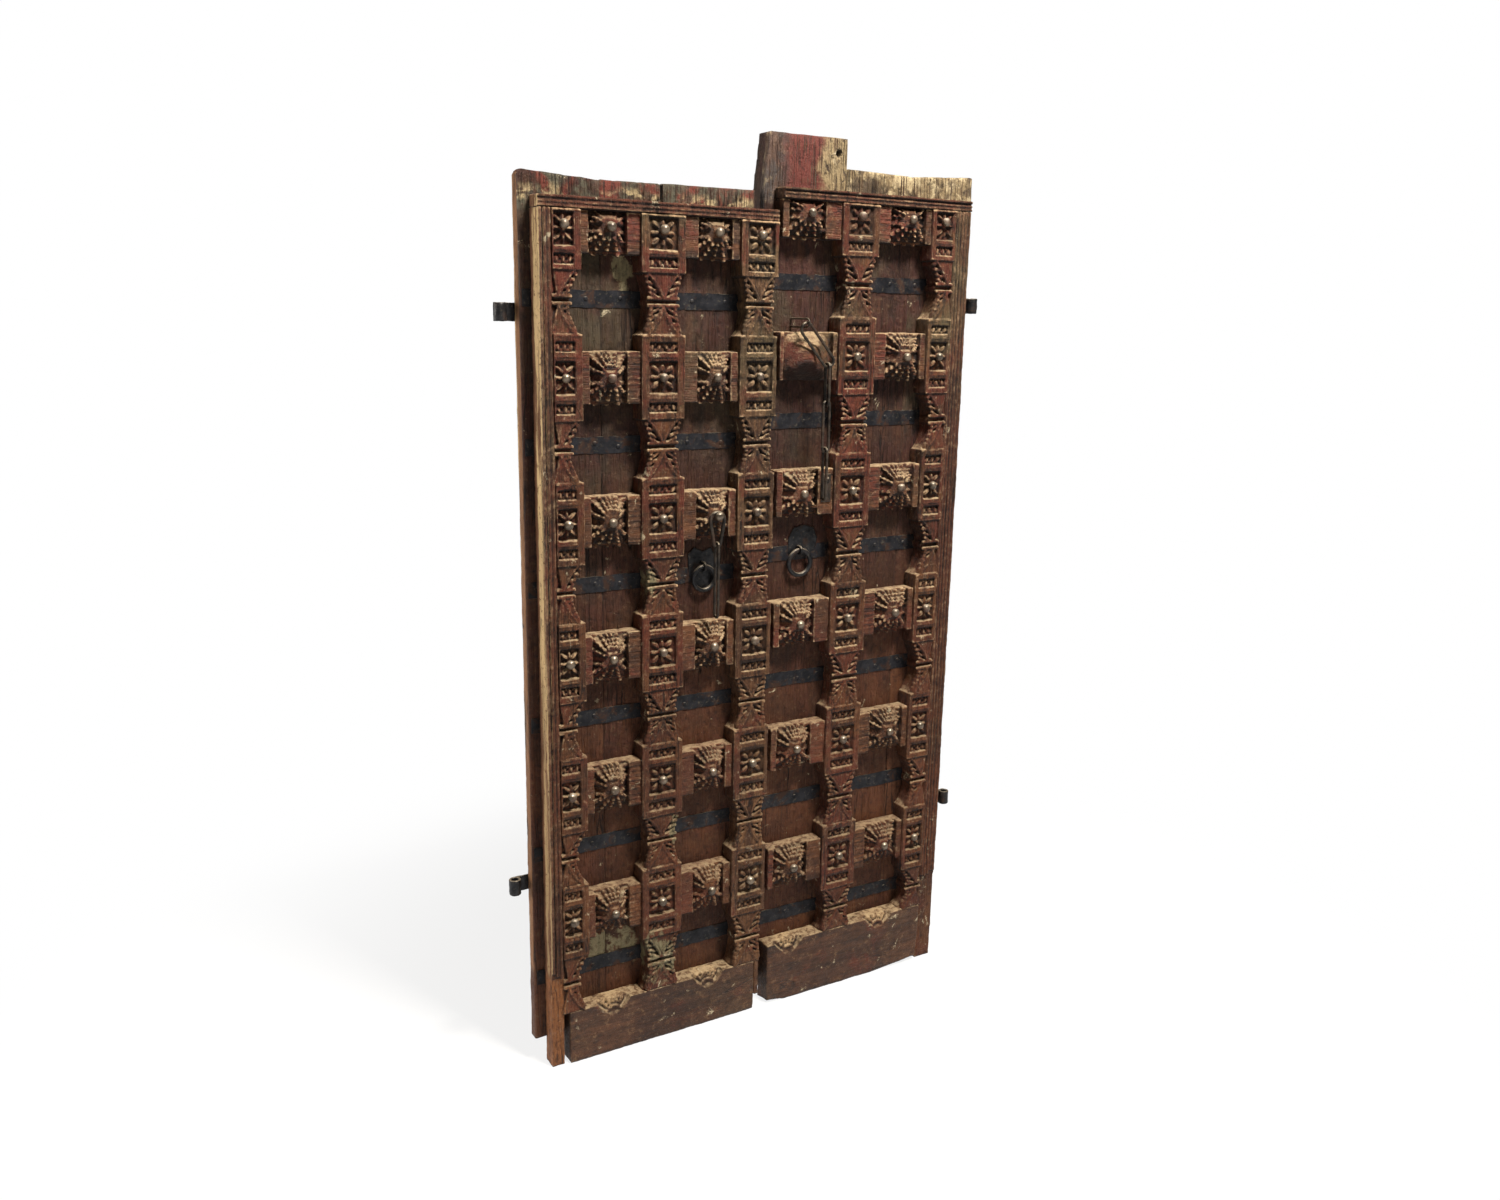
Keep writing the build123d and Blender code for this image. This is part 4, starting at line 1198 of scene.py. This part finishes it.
foots = {
    "left": {"span": (41, 515), "height": 127, "fans": (148, 390)},
    "right": {"span": (46.4, 508), "height": 155, "fans": (176, 446)},
    "front": 2,
    "fanHalf": 40,
    "fanHeight": 38,
}
for side, leaf in leaves.items():
    spec = foots[side]
    piece = slabOf(spanOf(leaf, *spec["span"]), (foots["front"], latticeBack), (0, spec["height"]))
    fans = []
    for s in spec["fans"]:
        x = onLeaf(leaf, s)
        zSpan = (spec["height"] - 3, spec["height"] + 8)
        cutter = slabOf((x - foots["fanHalf"], x + foots["fanHalf"]), (foots["front"] - 4, 20), zSpan)
        selectFaces(cutter, lambda face: face.normal.z < -0.9)
        extrude(0, -9, 3 - foots["fanHeight"])
        resize((0.16, 0.3, 1), at(x, foots["front"] - 4, 0))
        leaveEdit()
        cutAway(piece, cutter)
        for angle in (-62, -40, -20, 0, 20, 40, 62):
            for share in (0.45, 0.75, 1.0):
                across, rise = fromUp(angle, (foots["fanHeight"] - 2) * share)
                z = min(spec["height"] - foots["fanHeight"] + 4 + rise, spec["height"] - 2)
                fans.append(lobe(x + across, 5 + 11 * share, z, (2.6 + 1.6 * share, 4, 6), angle, 30))
    piece = joinAll([piece] + fans, f"{side}_foot_railWorn")
    weather(piece, "foot", "X", uneven=0.003, voxel=1.3)
    if side == "right":
        ends = spanOf(leaf, *spec["span"])
        wearDown(piece, at(ends[1], 20, 0), (150, 120, 80), (-6, 0, 10))
        wearDown(piece, at(ends[0], 0, 0), (60, 60, 50), (3, 3, 7))
    bleach(piece, *[(onLeaf(leaf, s), spec["height"] - 4, 40, 20) for s in spec["fans"]])
    keepPiece(piece, side + "_leaf", "foot", side + "_bottom_rail")

caps = {"left": 539, "right": 508, "height": 24}
for side, leaf in leaves.items():
    ends = spanOf(leaf, 0, caps[side])
    parts = [slabOf(ends, (6, latticeBack - 2), (leaf["top"], leaf["top"] + caps["height"]))]
    for z, radius in ((3.4, 2.8), (11.6, 2.8), (20.6, 3.2)):
        parts.append(levelRod(ends, 3.6, leaf["top"] + z, radius, 14))
    piece = joinAll(parts, side + "_capWorn")
    weather(piece, "cap", "X", uneven=0.003, tool=0.0016, voxel=0.85)
    keepPiece(piece, side + "_leaf", "moulding", side + "_cap")

reeds = {"left": {"width": 28, "foot": 215, "count": 3}, "right": {"width": 46, "foot": 232, "count": 5}}
for side, leaf in leaves.items():
    spec = reeds[side]
    pitch = spec["width"] / spec["count"]
    parts = [slabOf(spanOf(leaf, 0, spec["width"]), (6.6, 9), (spec["foot"], leaf["top"]))]
    for index in range(spec["count"]):
        x = onLeaf(leaf, pitch * (index + 0.5))
        foot = spec["foot"] + random.uniform(0, 16)
        parts.append(addRod(at(x, 4.2, foot), at(x, 4.2, leaf["top"]), pitch * 0.36, 14))
    piece = joinAll(parts, side + "_reeded_edge")
    weather(piece, "edge", uneven=0.0026, tool=0.0014, voxel=0.85)
    keepPiece(piece, side + "_leaf", "moulding", side + "_edge_moulding")
print("foot rails, caps and reeded edges")

# planks

planks = {
    "left_board_1": {"span": (-24, 147.7), "tops": (1911, 1900), "pale": [(140, 240, 40, 60)]},
    "left_board_2": {
        "span": (147.3, 283),
        "tops": (1901, 1902),
        "pale": [(198, 1735, 30, 46), (196, 1690, 20, 22), (185, 236, 50, 62)],
    },
    "left_board_3": {"span": (289, 505), "tops": (1903, 1904)},
    "right_board_1": {"span": (-35, 138.7), "tops": (1970, 1960)},
    "right_board_2": {"span": (138.3, 318), "tops": (1960, 1964)},
    "right_tall_board": {"span": (321, 533), "tops": (2026, 2026), "narrowFrom": 1905, "knot": (344, 1993)},
}
plankFeet = {"left": 55, "right": 50}
for index, (name, spec) in enumerate(planks.items()):
    side, leaf = leafOf(name)
    highest = max(spec["tops"])
    ends = spanOf(leaf, *spec["span"])
    back = tallBack if "knot" in spec else boardBack
    plank = slabOf(ends, (latticeBack, back), (plankFeet[side], highest))
    tops = spec["tops"][:: leaf["direction"]]
    for vertex in plank.data.vertices:
        if vertex.co.z > 1:
            vertex.co.z = tops[vertex.co.x > at(sum(ends) / 2, 0, 0).x] / 1000
    if "knot" in spec:
        # above the cap it is set back from its free edge, where a knot has fallen out
        rise = highest - spec["narrowFrom"]
        selectFaces(plank, lambda face: face.normal.z > 0.9)
        bpy.ops.transform.translate(value=(0, 0, -rise / 1000))
        extrude(0, 0, rise)
        resizeAcross(ends[0], ends[1], ends[0] + 14, ends[1])
        leaveEdit()
        x, z = onLeaf(leaf, spec["knot"][0]), spec["knot"][1]
        cutAway(plank, addRod(at(x, latticeBack - 3, z), at(x, latticeBack + 12, z), 8, 20))
    if name == "left_board_1":
        # its upper outer corner is worn round
        editAll(plank)
        for angle in (20, 45, 70):
            away = Vector((-math.sin(math.radians(angle)), 0, math.cos(math.radians(angle))))
            place = at(ends[0] + 15, 0, highest - 15) + away * 0.015
            slicePiece(place, away, clear_outer=True, use_fill=True)
        leaveEdit()
    weather(plank, "board", uneven=0.0024, tool=0.001, lines=0.0009, voxel=1.9)
    if "pale" in spec:
        bleach(plank, *spec["pale"])
    keepPiece(plank, side + "_leaf", f"board{index}", name)
    plank.name = name + "Plank"
print("planks")

# iron bands

bands = {"half": 17, "rise": 8, "proud": 1.2, "thickness": 3, "left": (-18, 499), "right": (-29, 527)}


def smoothUpTo(piece, angle):
    activate(piece)
    bpy.ops.object.shade_smooth_by_angle(angle=math.radians(angle))


for side, leaf in leaves.items():
    parts = []
    low, high = spanOf(leaf, *bands[side])
    for height in levelsOf(leaf):
        z = height - leaf["pitch"] / 2 + bands["rise"]
        front = latticeBack - bands["proud"]
        zSpan = (z - bands["half"], z + bands["half"])
        band = slabOf((low, high), (front, front + bands["thickness"]), zSpan)
        editAll(band)
        for cut in range(1, 44):
            slicePiece(at(low + (high - low) * cut / 44, 0, 0), (1, 0, 0))
        leaveEdit()
        for vertex in band.data.vertices:
            vertex.co.z += random.uniform(-1.2, 1.2) / 1000
            if vertex.co.y < at(0, front + 1, 0).y:
                vertex.co.y -= random.uniform(0, 0.8) / 1000
        parts.append(band)
        for s in (122, 196, 352, 426):
            x = onLeaf(leaf, s + random.uniform(-12, 12))
            parts.append(lobe(x, front, z + random.uniform(-5, 5), (5, 2.6, 5)))
    piece = joinAll(parts, side + "_bandsWorn")
    smoothUpTo(piece, 40)
    keepPiece(piece, side + "_leaf", "bandIron", side + "_bands")
print("bands")

# forged nails

nails = {"radius": 10, "height": 11, "shank": 2.5, "clinch": 22, "skip": ("right", 1, 1), "longNeck": 14}
columns = {
    "left": {"stiles": (52, 267, 497), "bosses": (148, 390), "strapStart": -24, "hinges": (1643, 428)},
    "right": {"stiles": (77, 310), "bosses": (176, 446), "strapStart": -35, "hinges": (1678, 412)},
}


def nailHead(x, y, z, radius, height):
    # a hammered dome: a ball cut flat at its seat, its crown knocked off centre
    head = lobe(x, y - height * 0.35, z, (radius, height * 0.75, radius), random.uniform(0, 90))
    editAll(head)
    slicePiece(at(0, y + 1, 0), (0, 1, 0), clear_outer=True, use_fill=True)
    leaveEdit()
    lean = (random.uniform(-1, 1) / 1000, random.uniform(-1.4, 0.6) / 1000)
    crown = at(0, y - height * 0.5, 0).y
    for vertex in head.data.vertices:
        if vertex.co.y < crown:
            vertex.co.x += lean[0]
            vertex.co.z += lean[1]
    return head


def nailAt(x, z, seat, back, neck=0):
    half = nails["shank"]
    parts = [nailHead(x, seat - neck, z, nails["radius"] * random.uniform(0.92, 1.0), nails["height"])]
    if neck:
        parts.append(addRod(at(x, seat, z), at(x, seat - neck - 1, z), 4))
    xSpan, end = (x - half, x + half), back + half
    parts.append(slabOf(xSpan, (seat - neck, end), (z - half, z + half)))
    parts.append(slabOf(xSpan, (back, end), (z - half - nails["clinch"], z - half)))
    return parts


for side, leaf in leaves.items():
    parts = []
    spec = columns[side]
    for row, height in enumerate(levelsOf(leaf)):
        for s in spec["stiles"]:
            parts += nailAt(onLeaf(leaf, s), height, 1, boardBack)
        for column, s in enumerate(spec["bosses"]):
            if (side, row, column) == nails["skip"]:
                continue
            back = tallBack if side == "right" and column == 1 else boardBack
            long = side == "left" and row == 2 and column == 1
            parts += nailAt(onLeaf(leaf, s), height, -5, back, nails["longNeck"] if long else 0)
    for height in spec["hinges"]:
        for index in range(3):
            s = spec["strapStart"] + 24 + 109.5 * index
            parts.append(lobe(onLeaf(leaf, s), boardBack + 5.5, height, (8, 3.6, 8)))
    piece = joinAll(parts, side + "_nailsForged")
    smoothUpTo(piece, 50)
    keepPiece(piece, side + "_leaf", "nailIron", side + "_nails")
print("nails")

# ironwork: each forged piece is skinned from its solid, thickened a little and left uneven

forgeTexture = cloudTexture("hammered", 0.011, 3)
forging = {"voxel": 0.0011, "quickVoxel": 0.00176, "rough": 0.0012}


def forged(name, grow=0.0, rough=1.0, kind="forged", voxel=1.0, finish="forgedIron", stretch=1.0):
    node = frame["nodes"][name]
    piece = newObject(name + "Forged", node.data.copy())
    piece.data.transform(node.matrix_world)
    editAll(piece)
    bpy.ops.mesh.remove_doubles(threshold=1e-5)
    leaveEdit()
    size = forging["voxel"] * voxel
    applyModifier(piece, "REMESH", mode="VOXEL", voxel_size=size)
    if grow:
        applyModifier(piece, "DISPLACE", strength=grow, mid_level=0)
    dent(piece, forgeTexture, forging["rough"] * rough)
    if stretch != 1:
        # broadened in the door's plane about its upper end, where it hangs
        (low, _, _), (high, _, top) = piece.bound_box[0], piece.bound_box[6]
        hang = Vector(((low + high) / 2, 0, top - 0.004))
        wider = Matrix.Diagonal((stretch, 1, stretch, 1))
        piece.data.transform(Matrix.Translation(hang) @ wider @ Matrix.Translation(-hang))
    thinOut(piece, kind)
    keepPiece(piece, body_of(node)[0], finish, name)


thickening = {
    "hasp_link": 0.0014,
    "thin_loop": 0.0003,
    "chain_link_1": 0.0006,
    "chain_link_2": 0.0009,
    "chain_link_3": 0.0006,
    "chain_link_4": 0.0006,
}
for name, grow in thickening.items():
    forged(name, grow=grow, rough=1.3, finish="linkIron")
for side, wider in (("left", 1.06), ("right", 1.16)):
    forged(side + "_ring", grow=0.0006, rough=0.6, stretch=wider)
    forged(side + "_ring_plate", rough=2.6, voxel=1.1, stretch=wider)
    forged(side + "_ring_staple", grow=0.0003, rough=0.6, kind="small")
    for place in ("upper", "lower"):
        forged(f"{side}_{place}_hinge", rough=1.6, voxel=2.0, kind="hinge")
for name, grow in (("chain_staple", -0.0009), ("catch_staple", 0.0006), ("catch_plate", 0.0006)):
    forged(name, grow=grow, kind="small", finish="linkIron")
print("ironwork")
drop(ball)
for guide in grainGuides.values():
    bpy.data.objects.remove(guide)

# floor, light and camera

stage = {
    "floorSize": 60,
    "lampColour": (1.0, 0.95, 0.88),
    "keyPower": 340,
    "frontPower": 10,
    "sidePower": 160,
    "worldLight": 0.04,
    "shadowReach": (0.7, 1.9),
}
deselectAll()
bpy.ops.mesh.primitive_plane_add(size=stage["floorSize"], location=(0, 0, -0.0005))
floor = settle(bpy.context.object)
floor.name = "floor"
floorMaterial = bpy.data.materials.new("paleFloor")
nodes = openTree(floorMaterial)
fill(nodes["Principled BSDF"], {"Base Color": (0.9, 0.9, 0.89, 1), "Roughness": 0.9})
glow = put("Emission", {"Color": (1, 1, 1, 1), "Strength": 1.0})
rays = put("LightPath")
seen = total(rays["Is Camera Ray"], rays["Is Glossy Ray"], clamp=True)
away = put("VectorMath", {0: put("TexCoord")["Object"]}, operation="LENGTH")["Value"]
whiteness = ramp(away, *stage["shadowReach"], 0.8, 1.0)
shaders = {1: nodes["Principled BSDF"].outputs[0], 2: glow[0]}
mixed = put("MixShader", {0: product(seen, whiteness), **shaders})
fill(nodes["Material Output"], {"Surface": mixed[0]})
floor.data.materials.append(floorMaterial)

world = bpy.data.worlds.new("studio")
bpy.context.scene.world = world
nodes = openTree(world)
strength = ramp(put("LightPath")["Is Camera Ray"], 0.0, 1.0, stage["worldLight"], 1.0)
fill(nodes["Background"], {"Color": (1, 1, 1, 1), "Strength": strength})


def areaLight(name, place, aim, size, power):
    light = bpy.data.lights.new(name, "AREA")
    light.shape = "RECTANGLE"
    light.size, light.size_y = size
    light.energy = power
    light.color = stage["lampColour"]
    lamp = newObject(name, light)
    lamp.location = place
    lamp.rotation_euler = (Vector(aim) - Vector(place)).to_track_quat("-Z", "Y").to_euler()


areaLight("softboxAbove", (0.4, -1.8, 4.4), (0, 0, 0.9), (0.75, 0.55), stage["keyPower"])
areaLight("softboxFront", (0.4, -4.2, 1.4), (0, 0, 1.0), (2.4, 2.4), stage["frontPower"])
areaLight("softboxSide", (-4.0, 1.3, 1.8), (-0.5, 0, 1.0), (1.2, 2.4), stage["sidePower"])

view = {"place": (-1.407, -2.326, 1.640), "turn": 30.6, "tilt": 13.0, "roll": 1.10, "lens": 29.3}
cameraData = bpy.data.cameras.new("camera")
cameraData.lens = view["lens"]
cameraData.sensor_width = 36
camera = newObject("camera", cameraData)
turn, tilt = math.radians(view["turn"]), math.radians(view["tilt"])
ahead = Vector((math.sin(turn) * math.cos(tilt), math.cos(turn) * math.cos(tilt), -math.sin(tilt)))
camera.location = view["place"]
camera.rotation_mode = "QUATERNION"
lean = Quaternion((0, 0, 1), math.radians(view["roll"]))
camera.rotation_quaternion = ahead.to_track_quat("-Z", "Y") @ lean
bpy.context.scene.camera = camera
bpy.context.scene.view_settings.view_transform = "Standard"

print("scene ready")
